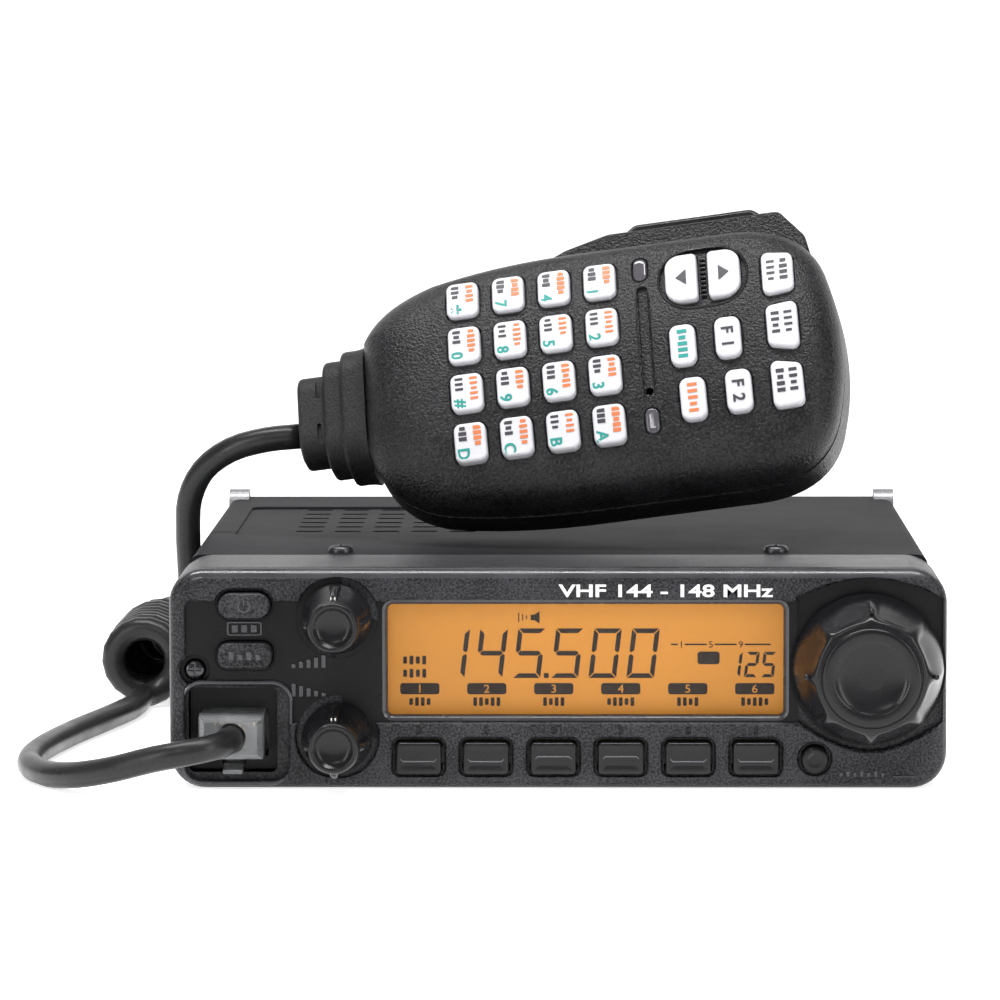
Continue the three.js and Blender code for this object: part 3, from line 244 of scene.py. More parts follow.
def rounded(corners, radii, steps):
    """A polygon, listed counter-clockwise, with each corner rounded. Returns points (u, v)."""
    count = len(corners)
    points = []
    for i, corner in enumerate(corners):
        here = Vector(corner)
        before = (Vector(corners[i - 1]) - here).normalized()
        after = (Vector(corners[(i + 1) % count]) - here).normalized()
        half = math.acos(max(-1, min(1, before.dot(after)))) / 2
        centre = here + (before + after).normalized() * (radii[i] / math.sin(half))
        start = here + before * (radii[i] / math.tan(half)) - centre
        sweep = math.pi - 2 * half
        for k in range(steps + 1):
            angle = sweep * k / steps
            points.append(centre + Matrix.Rotation(angle, 2) @ start)
    return points


def around(x, z, half_width, half_height):
    """The left, right, lower and upper sides of a rectangle round its middle."""
    return x - half_width, x + half_width, z - half_height, z + half_height


def corners_of(x0, x1, z0, z1):
    """The corners of a rectangle, counter-clockwise."""
    return [(x0, z0), (x1, z0), (x1, z1), (x0, z1)]


def rectangle(x0, x1, z0, z1, radius, steps=5):
    """Returns an outline that can grow: outline(g) is the rounded rectangle grown by g all round."""
    def outline(grow):
        corners = corners_of(x0 - grow, x1 + grow, z0 - grow, z1 + grow)
        return rounded(corners, [max(LEAST_RADIUS, radius + grow)] * 4, steps)

    return outline


def polygon_outline(corners, radii, steps=5):
    """As rectangle, for any convex polygon."""
    count = len(corners)
    radii = [radii] * count if isinstance(radii, (int, float)) else radii

    def outline(grow):
        moved = []
        for i, corner in enumerate(corners):
            here = Vector(corner)
            along_in = (here - Vector(corners[i - 1])).normalized()
            along_out = (Vector(corners[(i + 1) % count]) - here).normalized()
            out_a = Vector((along_in.y, -along_in.x))
            out_b = Vector((along_out.y, -along_out.x))
            moved.append(here + (out_a + out_b) * (grow / (1 + out_a.dot(out_b))))
        return rounded(moved, [max(LEAST_RADIUS, radius + grow) for radius in radii], steps)

    return outline


def disc(x, z, radius, count=48):
    """A circular outline that can grow."""
    turns = [2 * math.pi * i / count for i in range(count)]
    return lambda grow: [Vector((x + (radius + grow) * math.cos(t), z + (radius + grow) * math.sin(t))) for t in turns]


def stack(outline, profile):
    """Rings of an outline at each (growth, y) of the profile, as lists of 3D points."""
    return [[Vector((u, y, v)) for u, v in outline(grow)] for grow, y in profile]


def soft_edge(y_from, y_to, radius, steps=4):
    """The profile of a prism from y_from to y_to, its far edge rounded."""
    way = 1 if y_to > y_from else -1
    profile = [(0, y_from), (0, y_to - way * radius)]
    for k in range(1, steps + 1):
        angle = math.pi / 2 * k / steps
        profile.append((-radius * (1 - math.cos(angle)), y_to - way * radius * (1 - math.sin(angle))))
    return profile


def flared(y_floor, y_face, lip, over=1.0):
    """The profile of a cutter from y_floor out past y_face, with a mouth that rounds the edge it cuts."""
    way = 1 if y_face > y_floor else -1
    profile = [(0, y_floor), (0, y_face - way * lip)]
    for k in range(1, FLARE_STEPS + 1):
        angle = math.radians(FLARE_SWEEP) * k / FLARE_STEPS
        profile.append((lip * (1 - math.cos(angle)), y_face - way * lip * (1 - math.sin(angle))))
    profile.append((profile[-1][0] + 0.35 * over, y_face + way * 0.2 * over))
    profile.append((profile[-1][0], y_face + way * over))
    return profile


def loft(name, rings, material=None):
    """A closed mesh through rings of equal length, given in millimetres. The first and last are filled."""
    count = len(rings[0])
    points = [tuple(Vector(point) * MM) for ring in rings for point in ring]
    faces = []
    for i in range(len(rings) - 1):
        for j in range(count):
            k = (j + 1) % count
            faces.append((i * count + j, i * count + k, (i + 1) * count + k, (i + 1) * count + j))
    last = (len(rings) - 1) * count
    faces.append(tuple(reversed(range(count))))
    faces.append(tuple(range(last, last + count)))
    mesh = bpy.data.meshes.new(name)
    mesh.from_pydata(points, [], faces)
    piece = bpy.data.objects.new(name, mesh)
    bpy.context.scene.collection.objects.link(piece)
    outward(mesh)
    return coat(piece, material) if material else piece


def prism(outline, y_from, y_to):
    """A straight solid of one outline."""
    return loft("prism", stack(outline, [(0, y_from), (0, y_to)]))


def slab(corners, y_from, y_to):
    """A straight solid with sharp corners."""
    return loft("slab", [[Vector((u, y, v)) for u, v in corners] for y in (y_from, y_to)])


def coat(piece, finish_name):
    """Gives a piece one finish."""
    piece.data.materials.clear()
    piece.data.materials.append(FINISHES[finish_name])
    return piece


def outward(mesh):
    """Turns all faces of a closed mesh outward."""
    work = bmesh.new()
    work.from_mesh(mesh)
    bmesh.ops.recalc_face_normals(work, faces=work.faces)
    if work.calc_volume(signed=True) < 0:
        bmesh.ops.reverse_faces(work, faces=work.faces)
    work.to_mesh(mesh)
    work.free()


def merged(name, pieces):
    """Joins pieces into the first one and names it."""
    target = pieces[0]
    if len(pieces) > 1:
        with bpy.context.temp_override(active_object=target, selected_editable_objects=pieces):
            bpy.ops.object.join()
    target.name = name
    target.data.name = name
    return target


def combine(piece, others, operation="DIFFERENCE", solver="EXACT"):
    """Cuts, adds or intersects with other pieces, which are then removed."""
    tool = merged("tool", others)
    step = piece.modifiers.new("cut", "BOOLEAN")
    step.operation, step.object, step.solver = operation, tool, solver
    graph = bpy.context.evaluated_depsgraph_get()
    mesh = bpy.data.meshes.new_from_object(piece.evaluated_get(graph))
    piece.modifiers.clear()
    old = piece.data
    piece.data = mesh
    bpy.data.meshes.remove(old)
    mesh.name = piece.name
    bpy.data.objects.remove(tool)
    return piece


SQUARE_ON = 0.9998


def settle(piece, body, stands_for=(), angle=32, matrix=None):
    """Smooths a finished piece, and lets it ride on its body. Faces square to an axis stay flat."""
    mesh = piece.data
    if matrix is not None:
        mesh.transform(matrix)
    mesh.set_sharp_from_angle(angle=math.radians(angle))
    for polygon in mesh.polygons:
        square = matrix is None and max(abs(value) for value in polygon.normal) > SQUARE_ON
        polygon.use_smooth = not square
    flat_edges = {key for polygon in mesh.polygons if not polygon.use_smooth for key in polygon.edge_keys}
    for edge in mesh.edges:
        if edge.key in flat_edges:
            edge.use_edge_sharp = True
    if len(mesh.polygons) > 12:
        weighted = piece.modifiers.new("flat faces lead", "WEIGHTED_NORMAL")
        weighted.keep_sharp = True
    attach(piece, body)
    if stands_for:
        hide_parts(*stands_for)
    return piece


print("helpers ready")

# %% [markdown]
# ## The microphone cord
# A microphone cord is one length of jacketed cable: a straight tail from the handset, a long curly stretch,
# and a short tail to the plug. It is one tube here, because a real cord has no joints. The two tails
# follow listed points along the way that a slack cord takes. The curly stretch is worked out turn
# by turn around an axis, since nobody places six hundred points by hand. A curve object with a bevel could
# make the tails, but it twists on a tight helix, so the rings are laid square to the path in a loop.

# %% Cord route
CORD_DIAMETER = 5
COIL_DIAMETER = 18
COIL_X, COIL_START_Y, COIL_CORNER_Y, COIL_END_X, COIL_BEND = -84, 42, 77, 50, 22
COIL_PITCH = 5.15
POINTS_A_TURN = 18
MIC_END_ROUTE = [
    (-49.4, -10.2, 58.9), (-55.8, -9.4, 58.2), (-62.8, -7.5, 56.1), (-68.2, -4.8, 52.0), (-71.0, -2.4, 46.4),
    (-71.6, 0.0, 40.0), (-71.5, 4.0, 30.0), (-71.5, 10.5, 18.5), (-71.6, 20.0, 9.0), (-71.8, 31.0, 3.8),
    (-72.0, 43.0, 2.5), (-72.2, 58.0, 2.5), (-72.2, 68.0, 2.5), (-70.8, 73.8, 2.5), (-67.0, 77.6, 2.5),
    (-61.0, 79.0, 2.5), (-30.0, 79.0, 2.5), (10.0, 79.0, 2.5), (40.0, 79.0, 2.5), (54.0, 79.0, 2.5),
    (61.2, 82.0, 2.5), (64.2, 89.0, 2.5), (61.0, 96.2, 2.5), (50.6, 99.0, 2.5),
]
PLUG_END_ROUTE = [
    (-84.0, 41.7, 2.5), (-84.5, 26.0, 2.5), (-88.0, 8.0, 2.5), (-93.0, -15.0, 2.5), (-96.4, -36.0, 2.5),
    (-97.2, -49.0, 2.5), (-96.0, -61.0, 2.5), (-92.0, -71.0, 2.5), (-86.0, -78.5, 3.4), (-79.0, -84.0, 5.2),
    (-72.0, -87.0, 7.3), (-66.0, -88.35, 8.6), (-61.2, -86.4, 9.4), (-58.8, -81.8, 9.8), (-58.6, -77.8, 9.8),
]


def through(route, step):
    """A smooth line through the route's points, with a point about every step millimetres."""
    points = [Vector(point) for point in route]
    points = [2 * points[0] - points[1], *points, 2 * points[-1] - points[-2]]
    line = []
    for a, b, c, d in zip(points, points[1:], points[2:], points[3:]):
        before, here, after = [math.sqrt((q - p).length) for p, q in ((a, b), (b, c), (c, d))]
        leave = ((b - a) / before - (c - a) / (before + here) + (c - b) / here) * here
        arrive = ((c - b) / here - (d - b) / (here + after) + (d - c) / after) * here
        count = max(1, round((c - b).length / step))
        for k in range(count):
            t = k / count
            line.append(b * (2 * t**3 - 3 * t**2 + 1) + leave * (t**3 - 2 * t**2 + t)
                        + c * (3 * t**2 - 2 * t**3) + arrive * (t**3 - t**2))
    return [*line, points[-2]]


def coil_axis(s):
    """The curly stretch's axis: its point and direction after s millimetres."""
    first = COIL_CORNER_Y - COIL_START_Y
    arc = COIL_BEND * math.pi / 2
    if s < first:
        return Vector((COIL_X, COIL_START_Y + s, COIL_DIAMETER / 2)), Vector((0, 1, 0))
    if s < first + arc:
        angle = (s - first) / COIL_BEND
        spot = (COIL_X + COIL_BEND * (1 - math.cos(angle)), COIL_CORNER_Y + COIL_BEND * math.sin(angle))
        return Vector((*spot, COIL_DIAMETER / 2)), Vector((math.sin(angle), math.cos(angle), 0))
    spot = (COIL_X + COIL_BEND + s - first - arc, COIL_CORNER_Y + COIL_BEND)
    return Vector((*spot, COIL_DIAMETER / 2)), Vector((1, 0, 0))


COIL_EASE = 9
COIL_LENGTH = COIL_CORNER_Y - COIL_START_Y + COIL_BEND * math.pi / 2 + COIL_END_X - COIL_X - COIL_BEND
WIRE_RADIUS = (COIL_DIAMETER - CORD_DIAMETER) / 2
coil_turns = round((COIL_LENGTH - COIL_EASE) / COIL_PITCH)


def turned(s):
    """How far the wire has wound after s millimetres of axis: it eases in and out of the full rate."""
    near_end = min(s, COIL_LENGTH - s)
    eased = near_end**2 / (2 * COIL_EASE) if near_end < COIL_EASE else near_end - COIL_EASE / 2
    share = eased / (COIL_LENGTH - COIL_EASE)
    return 2 * math.pi * coil_turns * (share if s <= COIL_LENGTH / 2 else 1 - share)


def coil_line():
    """Points on the wire of the curly stretch, evenly spaced along it."""
    step = 2 * math.pi * WIRE_RADIUS / POINTS_A_TURN
    line = []
    for i in range(40 * round(COIL_LENGTH) + 1):
        s = min(COIL_LENGTH, i / 40)
        centre, ahead = coil_axis(s)
        side = ahead.cross(Vector((0, 0, 1)))
        angle = turned(s)
        point = centre + WIRE_RADIUS * (math.sin(angle) * side - math.cos(angle) * Vector((0, 0, 1)))
        if not line or (point - line[-1]).length >= step:
            line.append(point)
    return line


cord_line = through(MIC_END_ROUTE, 2.5)[:-1] + coil_line()[::-1] + through(PLUG_END_ROUTE, 2.5)[1:]
for point in cord_line:
    point.z = max(point.z, CORD_DIAMETER / 2)


# %% Cord mesh
TUBE_SIDES = 12


def tube(name, line, radius, material):
    """A closed tube of rings square to the line."""
    rings = []
    normal = Vector((0, 0, 1))
    for i, point in enumerate(line):
        ahead = (line[min(i + 1, len(line) - 1)] - line[max(i - 1, 0)]).normalized()
        normal = (normal - ahead * normal.dot(ahead)).normalized()
        across = ahead.cross(normal)
        turns = [2 * math.pi * k / TUBE_SIDES for k in range(TUBE_SIDES)]
        rings.append([point + radius * (math.cos(t) * normal + math.sin(t) * across) for t in turns])
    return loft(name, rings, material)


JACKET_RADIUS = CORD_DIAMETER / 2 - 0.1
cord = tube("microphone_cord", cord_line, JACKET_RADIUS, "cord_jacket")

print("microphone_cord:", len(cord.data.polygons), "faces")

# %% [markdown]
# ## The front panel
# The panel is one moulding: a textured brow along the top, a smooth band sunk below it, and a textured
# chin. It starts as a stack of rounded rectangles with a soft front edge. Then the cutters come in
# groups, so that no two cutters of one group touch: the hollow and the band first, then the wells, then
# the small recesses and the ticks, and the holes last. The small ones cross the rounded edge, where the
# exact solver leaves open faces and the manifold solver doesn't. A height field would give the same face,
# but its steep walls would be ragged.

# %% Front panel: body, band and wells
panel_low, panel_high = box_mm("front_panel")
PANEL_FACE_Y = panel_low.y
PANEL_CORNER = 6.5
PANEL_SKIN = 2.5
BAND_Z = (12.1, 33.9)
BAND_Y = PANEL_FACE_Y + 1
PANEL_INSIDE_Y = PANEL_FACE_Y + 3
WELL_Y = PANEL_FACE_Y + 1.8
RECESS_Y = PANEL_FACE_Y + 1.3
CUT_BACK_Y = PANEL_FACE_Y + 12
SOFT_FRONT = [(0, 2.9), (-0.10, 2.0), (-0.42, 1.15), (-1.0, 0.5), (-1.8, 0.12), (-2.76, 0)]
MOUTH = 0.45


def cutter(outline, floor_y, face_y=PANEL_FACE_Y, lip=MOUTH, over=1.0):
    return loft("cutter", stack(outline, flared(floor_y, face_y, lip, over)))


def centre_of(node):
    low, high = box_mm(node)
    return (low + high) / 2


dial_centre = centre_of("tuning_dial")
knob_centres = [centre_of(name) for name in ("volume_knob", "squelch_knob")]

panel_outline = rectangle(panel_low.x, panel_high.x, panel_low.z, panel_high.z, PANEL_CORNER, steps=10)
panel_profile = [(0, panel_high.y)] + [(grow, PANEL_FACE_Y + back) for grow, back in SOFT_FRONT]
front_panel = loft("panel_moulding", stack(panel_outline, panel_profile))
hollow = rectangle(panel_low.x + PANEL_SKIN, panel_high.x - PANEL_SKIN, PANEL_SKIN, panel_high.z - PANEL_SKIN, 1.5)
combine(front_panel, [prism(hollow, PANEL_INSIDE_Y, panel_high.y + 5)])
band = rectangle(panel_low.x + 3.1, panel_high.x - 2.4, *BAND_Z, 1.2)
combine(front_panel, [cutter(band, BAND_Y, lip=0.7)])

# The dial sits in an eye: two flat arcs that cut into the brow and the chin.
EYE_LEFT, EYE_RIGHT, EYE_RISE, EYE_DROP, EYE_SIDES, EYE_STEPS = 43.0, 69.2, 16.3, 14.9, (12.3, 34.6), 12
eye = []
for i in range(EYE_STEPS + 1):
    share = i / EYE_STEPS
    eye.append((EYE_LEFT + (EYE_RIGHT - EYE_LEFT) * share,
                EYE_SIDES[0] - (EYE_SIDES[0] - (dial_centre.z - EYE_DROP)) * math.sin(math.pi * share)))
for i in range(EYE_STEPS + 1):
    share = 1 - i / EYE_STEPS
    eye.append((EYE_LEFT + (EYE_RIGHT - EYE_LEFT) * share,
                EYE_SIDES[1] + (dial_centre.z + EYE_RISE - EYE_SIDES[1]) * math.sin(math.pi * share)))
combine(front_panel, [cutter(polygon_outline(eye, 0.1, steps=1), WELL_Y, lip=0.6)])

SOCKET_WELL = (-67.15, -48.45, 1.5, 18.8)
SOCKET_FLOOR_Y = PANEL_FACE_Y + 2.2
wells = [
    cutter(disc(dial_centre.x, dial_centre.z, 14.1, 96), WELL_Y + 0.12),
    cutter(rectangle(*SOCKET_WELL, 3), SOCKET_FLOOR_Y, lip=0.6),
    *[cutter(disc(centre.x, centre.z, 7.4, 64), BAND_Y + 0.15) for centre in knob_centres],
]
combine(front_panel, wells)
print("front panel:", len(front_panel.data.polygons), "faces after the wells")

# %% Front panel: small recesses and holes
PANEL_KEY_NAMES = ["power_button", "memory_button", *[f"function_key_{i}" for i in range(1, 7)], "bank_button"]
PANEL_KEY_CORNERS = {"power_button": 2.3, "memory_button": 1.8, "bank_button": 2.32}
KEY_CORNER = 0.8
COLLAR_REACH = 0.9
KEY_PLAY = 0.25
key_boxes = {}
for name in PANEL_KEY_NAMES:
    low, high = box_mm(name)
    low.x, high.x = low.x + COLLAR_REACH, high.x - COLLAR_REACH
    key_boxes[name] = (low, high)


def key_outline(name, grow=0.0):
    low, high = key_boxes[name]
    corner = PANEL_KEY_CORNERS.get(name, KEY_CORNER)
    return rectangle(low.x - grow, high.x + grow, low.z - grow, high.z + grow, corner + grow, steps=8)


SCREW_WELL = (-65.4, 21.4, 2.7)
PLATE = (-59.5, -53.2, 27.7, 30.3)
recesses = [cutter(key_outline(name, 0.62), RECESS_Y, lip=0.4) for name in PANEL_KEY_NAMES]
recesses.append(cutter(disc(*SCREW_WELL), PANEL_FACE_Y + 2.8, BAND_Y, lip=0.3))
combine(front_panel, recesses, solver="MANIFOLD")
ticks = []
for i in range(1, 7):
    middle = (key_boxes[f"function_key_{i}"][0].x + key_boxes[f"function_key_{i}"][1].x) / 2
    tick = [(middle - 0.4, 10.0), (middle + 0.4, 10.0), (middle + 0.4, 11.2), (middle, 11.75), (middle - 0.4, 11.2)]
    ticks.append(cutter(polygon_outline(tick, 0.08, steps=1), PANEL_FACE_Y + 0.5, lip=0.12))
combine(front_panel, ticks, solver="MANIFOLD")

WINDOW_OPENING = (-30.6, 40.6, 13.3, 33.3)
JACK_OPENING = (-66.6, -50.6, 2.8, 18.2)
BUSHING_HOLE = 3.9
RIM_FRONT_Y = PANEL_FACE_Y + 0.15
socket_frame = rectangle(*SOCKET_WELL, 3, steps=8)
rim = loft("rim", stack(socket_frame, [(0.85, SOCKET_FLOOR_Y), (0.85, RIM_FRONT_Y + 0.35), (0.75, RIM_FRONT_Y + 0.1),
                                       (0.55, RIM_FRONT_Y)]))
combine(rim, [loft("mouth", stack(socket_frame, [(0.1, SOCKET_FLOOR_Y + 1), (0.1, RIM_FRONT_Y + 0.25),
                                                 (0.3, RIM_FRONT_Y - 0.05), (0.3, RIM_FRONT_Y - 1)]))])
rim.name = "socket_rim"
# The rim takes the lighter colour, a painted highlight on its raised edge.
settle(coat(rim, "painted_highlight_plastic"), "radio")

holes = [prism(key_outline(name, KEY_PLAY), PANEL_FACE_Y - 1, CUT_BACK_Y) for name in PANEL_KEY_NAMES]
holes.append(cutter(rectangle(*WINDOW_OPENING, 1), CUT_BACK_Y, BAND_Y, lip=1.25, over=1.3))
holes.append(prism(rectangle(*JACK_OPENING, 1.2), PANEL_FACE_Y - 1, CUT_BACK_Y))
for centre in (dial_centre, *knob_centres):
    holes.append(prism(disc(centre.x, centre.z, BUSHING_HOLE, 32), -80, CUT_BACK_Y))
combine(front_panel, holes, solver="MANIFOLD")


def paint(piece, names, rule):
    """Gives a piece several finishes. The rule turns a face's centre and normal into an index."""
    for name in names:
        piece.data.materials.append(FINISHES[name])
    for polygon in piece.data.polygons:
        polygon.material_index = rule(polygon.center / MM, polygon.normal)


def panel_finish(centre, normal):
    in_band = BAND_Z[0] - 0.4 < centre.z < BAND_Z[1] + 0.4 and centre.y < PANEL_INSIDE_Y + 2
    beside_window = WINDOW_OPENING[0] - 1.6 < centre.x < WINDOW_OPENING[1] + 1.6
    # Index 2 is a painted highlight: the window's chamfers take the lighter colour.
    if in_band and beside_window and BAND_Y + 0.02 < centre.y < BAND_Y + 1.2 and abs(normal.y) < 0.98:
        return 2
    # The brow's rounded top edge takes it too, as a painted highlight line.
    if centre.z > panel_high.z - 2 and normal.z > 0.3 and normal.y < -0.25:
        return 2
    return 1 if in_band and centre.y > PANEL_FACE_Y + 0.85 and panel_low.x + 3 < centre.x else 0


front_panel.data.materials.clear()
paint(front_panel, ["grain_and_painted_glint_plastic", "band_plastic", "painted_highlight_plastic"], panel_finish)
settle(front_panel, "radio", ["front_panel"])
print("front panel:", len(front_panel.data.polygons), "faces")

# %% [markdown]
# ## Keys of the panel
# A moulded key is a cap with a soft front edge, a collar that keeps it behind the panel, and a stem that
# reaches its switch. The cap is a stack of outlines. The collar and the stem are joined to it, so each
# key is one body, as it is in plastic. The marks on the caps are thin raised bars, because the real ones
# are moulded relief.

# %% Panel keys
RELIEF, MARK_DEPTH = 0.22, 0.4
STEM_HALF = 1.2


def bar(corners, y_front, thick=MARK_DEPTH, radius=0.12):
    """A small raised bar on a face that looks to -Y."""
    return loft("bar", stack(polygon_outline(corners, radius, steps=2), soft_edge(y_front + thick, y_front, 0.08, 2)))


def bars_of(x0, x1, z0, z1, y_front, thick=MARK_DEPTH):
    return bar(corners_of(x0, x1, z0, z1), y_front, thick, min(0.12, (x1 - x0) / 3, (z1 - z0) / 3))


def arc_bar(centre, radius, from_deg, to_deg, width, y_front):
    """A raised stroke along an arc."""
    steps = 14
    turns = [math.radians(from_deg + (to_deg - from_deg) * i / steps) for i in range(steps + 1)]
    rings = []
    for t in turns:
        across = Vector((math.cos(t), 0, math.sin(t)))
        middle = Vector((centre[0], y_front, centre[1])) + radius * across
        half = across * width / 2
        root = Vector((0, MARK_DEPTH, 0))
        rings.append([middle - half + root, middle + half + root, middle + half, middle - half])
    return loft("arc", rings)


def dished(y_rear, y_front, radius, dish, inset=0.5):
    """A cap's profile whose front is slightly hollow."""
    profile = soft_edge(y_rear, y_front, radius)
    edge = profile[-1][0]
    return profile + [(edge - inset, y_front + dish * 0.6), (edge - 2 * inset, y_front + dish)]


for name in PANEL_KEY_NAMES:
    low, high = key_boxes[name]
    centre = (low + high) / 2
    front = low.y
    skin = "grain_and_painted_glint_plastic" if name in ("power_button", "memory_button") else "knob_plastic"
    cap = loft(name + "_cap", stack(key_outline(name), dished(PANEL_INSIDE_Y + 0.6, front, 0.55, 0.10)), skin)
    height = high.z - low.z
    collar = rectangle(low.x - COLLAR_REACH, high.x + COLLAR_REACH, centre.z - height / 4, centre.z + height / 4, 0.3)
    stem = rectangle(*around(centre.x, centre.z, STEM_HALF, STEM_HALF), 0.2)
    combine(cap, [prism(collar, PANEL_INSIDE_Y + 0.4, PANEL_INSIDE_Y + 1.6)], "UNION")
    combine(cap, [prism(stem, PANEL_INSIDE_Y + 1.5, high.y)], "UNION")
    settle(cap, name, [name])
    face = front + 0.10
    if name.startswith("function"):
        turn_up = name[-1] not in "34"
        level = centre.z - (0.55 if turn_up else -0.35)
        tip = 0.42 if turn_up else -0.42
        strokes = [bars_of(*around(centre.x, level, 2.9, 0.11), face - RELIEF)]
        for side in (-1, 1):
            a, b = centre.x + side * 2.8, centre.x + side * 3.25
            corners = [(a, level - 0.11), (b, level - 0.11 + tip), (b, level + 0.11 + tip), (a, level + 0.11)]
            strokes.append(bar(corners if side > 0 else corners[::-1], face - RELIEF, radius=0.03))
    elif name == "power_button":
        strokes = [arc_bar((centre.x, centre.z), 1.05, -235, 55, 0.34, face - RELIEF),
                   bars_of(centre.x - 0.16, centre.x + 0.16, centre.z + 0.1, centre.z + 1.35, face - RELIEF)]
    elif name == "memory_button":
        strokes = [bars_of(centre.x + x - 0.45, centre.x + x + 0.45, centre.z - 0.75, centre.z - 0.75 + rise,
                           face - RELIEF) for x, rise in ((-2.4, 1.5), (-0.8, 1.0), (0.8, 1.5), (2.4, 1.0))]
    else:
        strokes = [arc_bar((centre.x, centre.z), 1.2, 100, 170, 0.2, face - RELIEF * 0.6)]
    marks = merged(name + "_mark", strokes)
    # Marks on the power and memory buttons take the lighter colour, a painted highlight on their raised bars.
    settle(coat(marks, "mark_plastic" if name.startswith("function") else "painted_highlight_plastic"), name)
print("panel keys:", len(PANEL_KEY_NAMES))

# %% [markdown]
# ## Marks on the panel
# The labels of a real panel are moulded relief or white print. The relief here is generic: rising steps
# for loudness, falling steps for noise, a framed plate between the two buttons, and dots beside the round
# one. The print is the band that such a radio covers. Text objects become meshes straight away, so that
# they ride like any piece.

# %% Panel marks and screw
def lettering(text, size, depth=0.06, bold=0.0):
    """Flat text as a mesh in millimetres, lying in x and z, centred, facing -Y."""
    curve = bpy.data.curves.new("lettering", "FONT")
    curve.body, curve.size, curve.extrude = text, size, depth
    curve.align_x, curve.align_y = "CENTER", "CENTER"
    curve.resolution_u, curve.offset = 3, bold * size
    thing = bpy.data.objects.new("lettering", curve)
    bpy.context.scene.collection.objects.link(thing)
    mesh = bpy.data.meshes.new_from_object(thing.evaluated_get(bpy.context.evaluated_depsgraph_get()))
    bpy.data.objects.remove(thing)
    bpy.data.curves.remove(curve)
    piece = bpy.data.objects.new("lettering", mesh)
    bpy.context.scene.collection.objects.link(piece)
    outline = np.array([vertex.co for vertex in mesh.vertices])
    mesh.transform(Matrix.Translation(-Vector((outline.min(0) + outline.max(0)) / 2)))
    mesh.transform(Matrix.Rotation(math.radians(90), 4, "X"))
    return piece


def place_mm(piece, x, y, z, stretch=(1, 1, 1)):
    """Moves and scales a mesh that was made in millimetres round the origin into the scene's metres."""
    piece.data.transform(Matrix.Diagonal((*stretch, 1)))
    piece.data.transform(Matrix.Scale(MM, 4) @ Matrix.Translation((x, y, z)))
    return piece


BROW_PRINT_X, BROW_PRINT_Z, BROW_PRINT_SIZE = 19.4, 35.95, 3.3
BROW_PRINT_STRETCH = (1.42, 1, 0.95)
brow_print = place_mm(lettering("VHF 144 - 148 MHz", BROW_PRINT_SIZE, bold=0.02),
                      BROW_PRINT_X, PANEL_FACE_Y - 0.02, BROW_PRINT_Z, BROW_PRINT_STRETCH)
brow_print.name = "brow_print"
settle(coat(brow_print, "print_white"), "radio")

relief = []
for level, rising in ((21.9, True), (16.7, False)):
    for i in range(5):
        rise = 0.7 + 0.42 * (i if rising else 4 - i)
        x = -47.9 + 1.35 * i
        relief.append(bars_of(x, x + 0.75, level, level + rise, BAND_Y - RELIEF * 1.4, 0.5))
plate = loft("plate", stack(rectangle(*PLATE, 0.5), [(0, BAND_Y + 0.3), (0, BAND_Y - 0.16), (-0.08, BAND_Y - 0.2)]))
combine(plate, [loft("cut", stack(rectangle(*PLATE, 0.5), [(-0.3, BAND_Y + 1), (-0.3, BAND_Y - 1)]))])
relief.append(plate)
for i in range(3):
    relief.append(bars_of(-58.6 + 1.7 * i, -57.5 + 1.7 * i, 28.3, 29.7, BAND_Y - RELIEF))
for i in range(7):
    relief.append(bars_of(50.6 + 1.25 * i, 51.2 + 1.25 * i, 2.3, 3.1 + 0.3 * (i % 2), PANEL_FACE_Y - RELIEF * 0.7))
relief.append(bars_of(60.2, 64.6, 2.2, 2.5, PANEL_FACE_Y - RELIEF * 0.7))
relief = merged("panel_relief", relief)
# The relief takes the lighter colour, a painted highlight on its raised bars.
settle(coat(relief, "painted_highlight_plastic"), "radio")


SCREW_CROSS_REACH = 0.62
SCREW_HEAD = [(0, 0), (0, -0.35), (-0.08, -0.7), (-0.35, -1.0), (-0.8, -1.18), (-1.4, -1.25)]


def screw(name, matrix, radius, body):
    """A pan-head screw with a cross recess. Its head looks to -Y, and matrix places its seat."""
    head = loft(name, stack(disc(0, 0, radius, 32), SCREW_HEAD), "dark_metal")
    for turn in (0, 90):
        reach = radius * SCREW_CROSS_REACH
        arm = loft("arm", stack(rectangle(-reach, reach, -0.22, 0.22, 0.1), [(-0.12, -0.5), (0.05, -2)]))
        arm.data.transform(Matrix.Rotation(math.radians(turn), 4, "Y"))
        combine(head, [arm])
    head.data.transform(Matrix.Scale(MM, 4) @ matrix @ Matrix.Scale(1 / MM, 4))
    return settle(head, body)


screw("panel_screw", Matrix.Translation((SCREW_WELL[0], PANEL_FACE_Y + 2.75, SCREW_WELL[1])), 2.0, "radio")
print("panel marks: print, relief and a screw")

# %% [markdown]
# ## The display
# Behind the clear window lies a lit panel whose dark segments are switched on and off. The segments are
# thin solids just in front of it, cut with slanted ends as on the real glass. One function draws a digit
# from the set of its lit segments, so any reading can be shown. Here it is a frequency in the radio's own
# band, with a memory number beside it.

# %% Display segments and window
SEGMENT_Y = box_mm("lcd_panel")[0].y - 0.06
SEGMENTS = {"0": "abcdef", "1": "bc", "2": "abged", "3": "abgcd", "4": "fgbc", "5": "afgcd", "6": "afgedc",
            "7": "abc", "8": "abcdefg", "9": "abfgcd"}


def segment(corners):
    return slab(corners, SEGMENT_Y + 0.05, SEGMENT_Y)


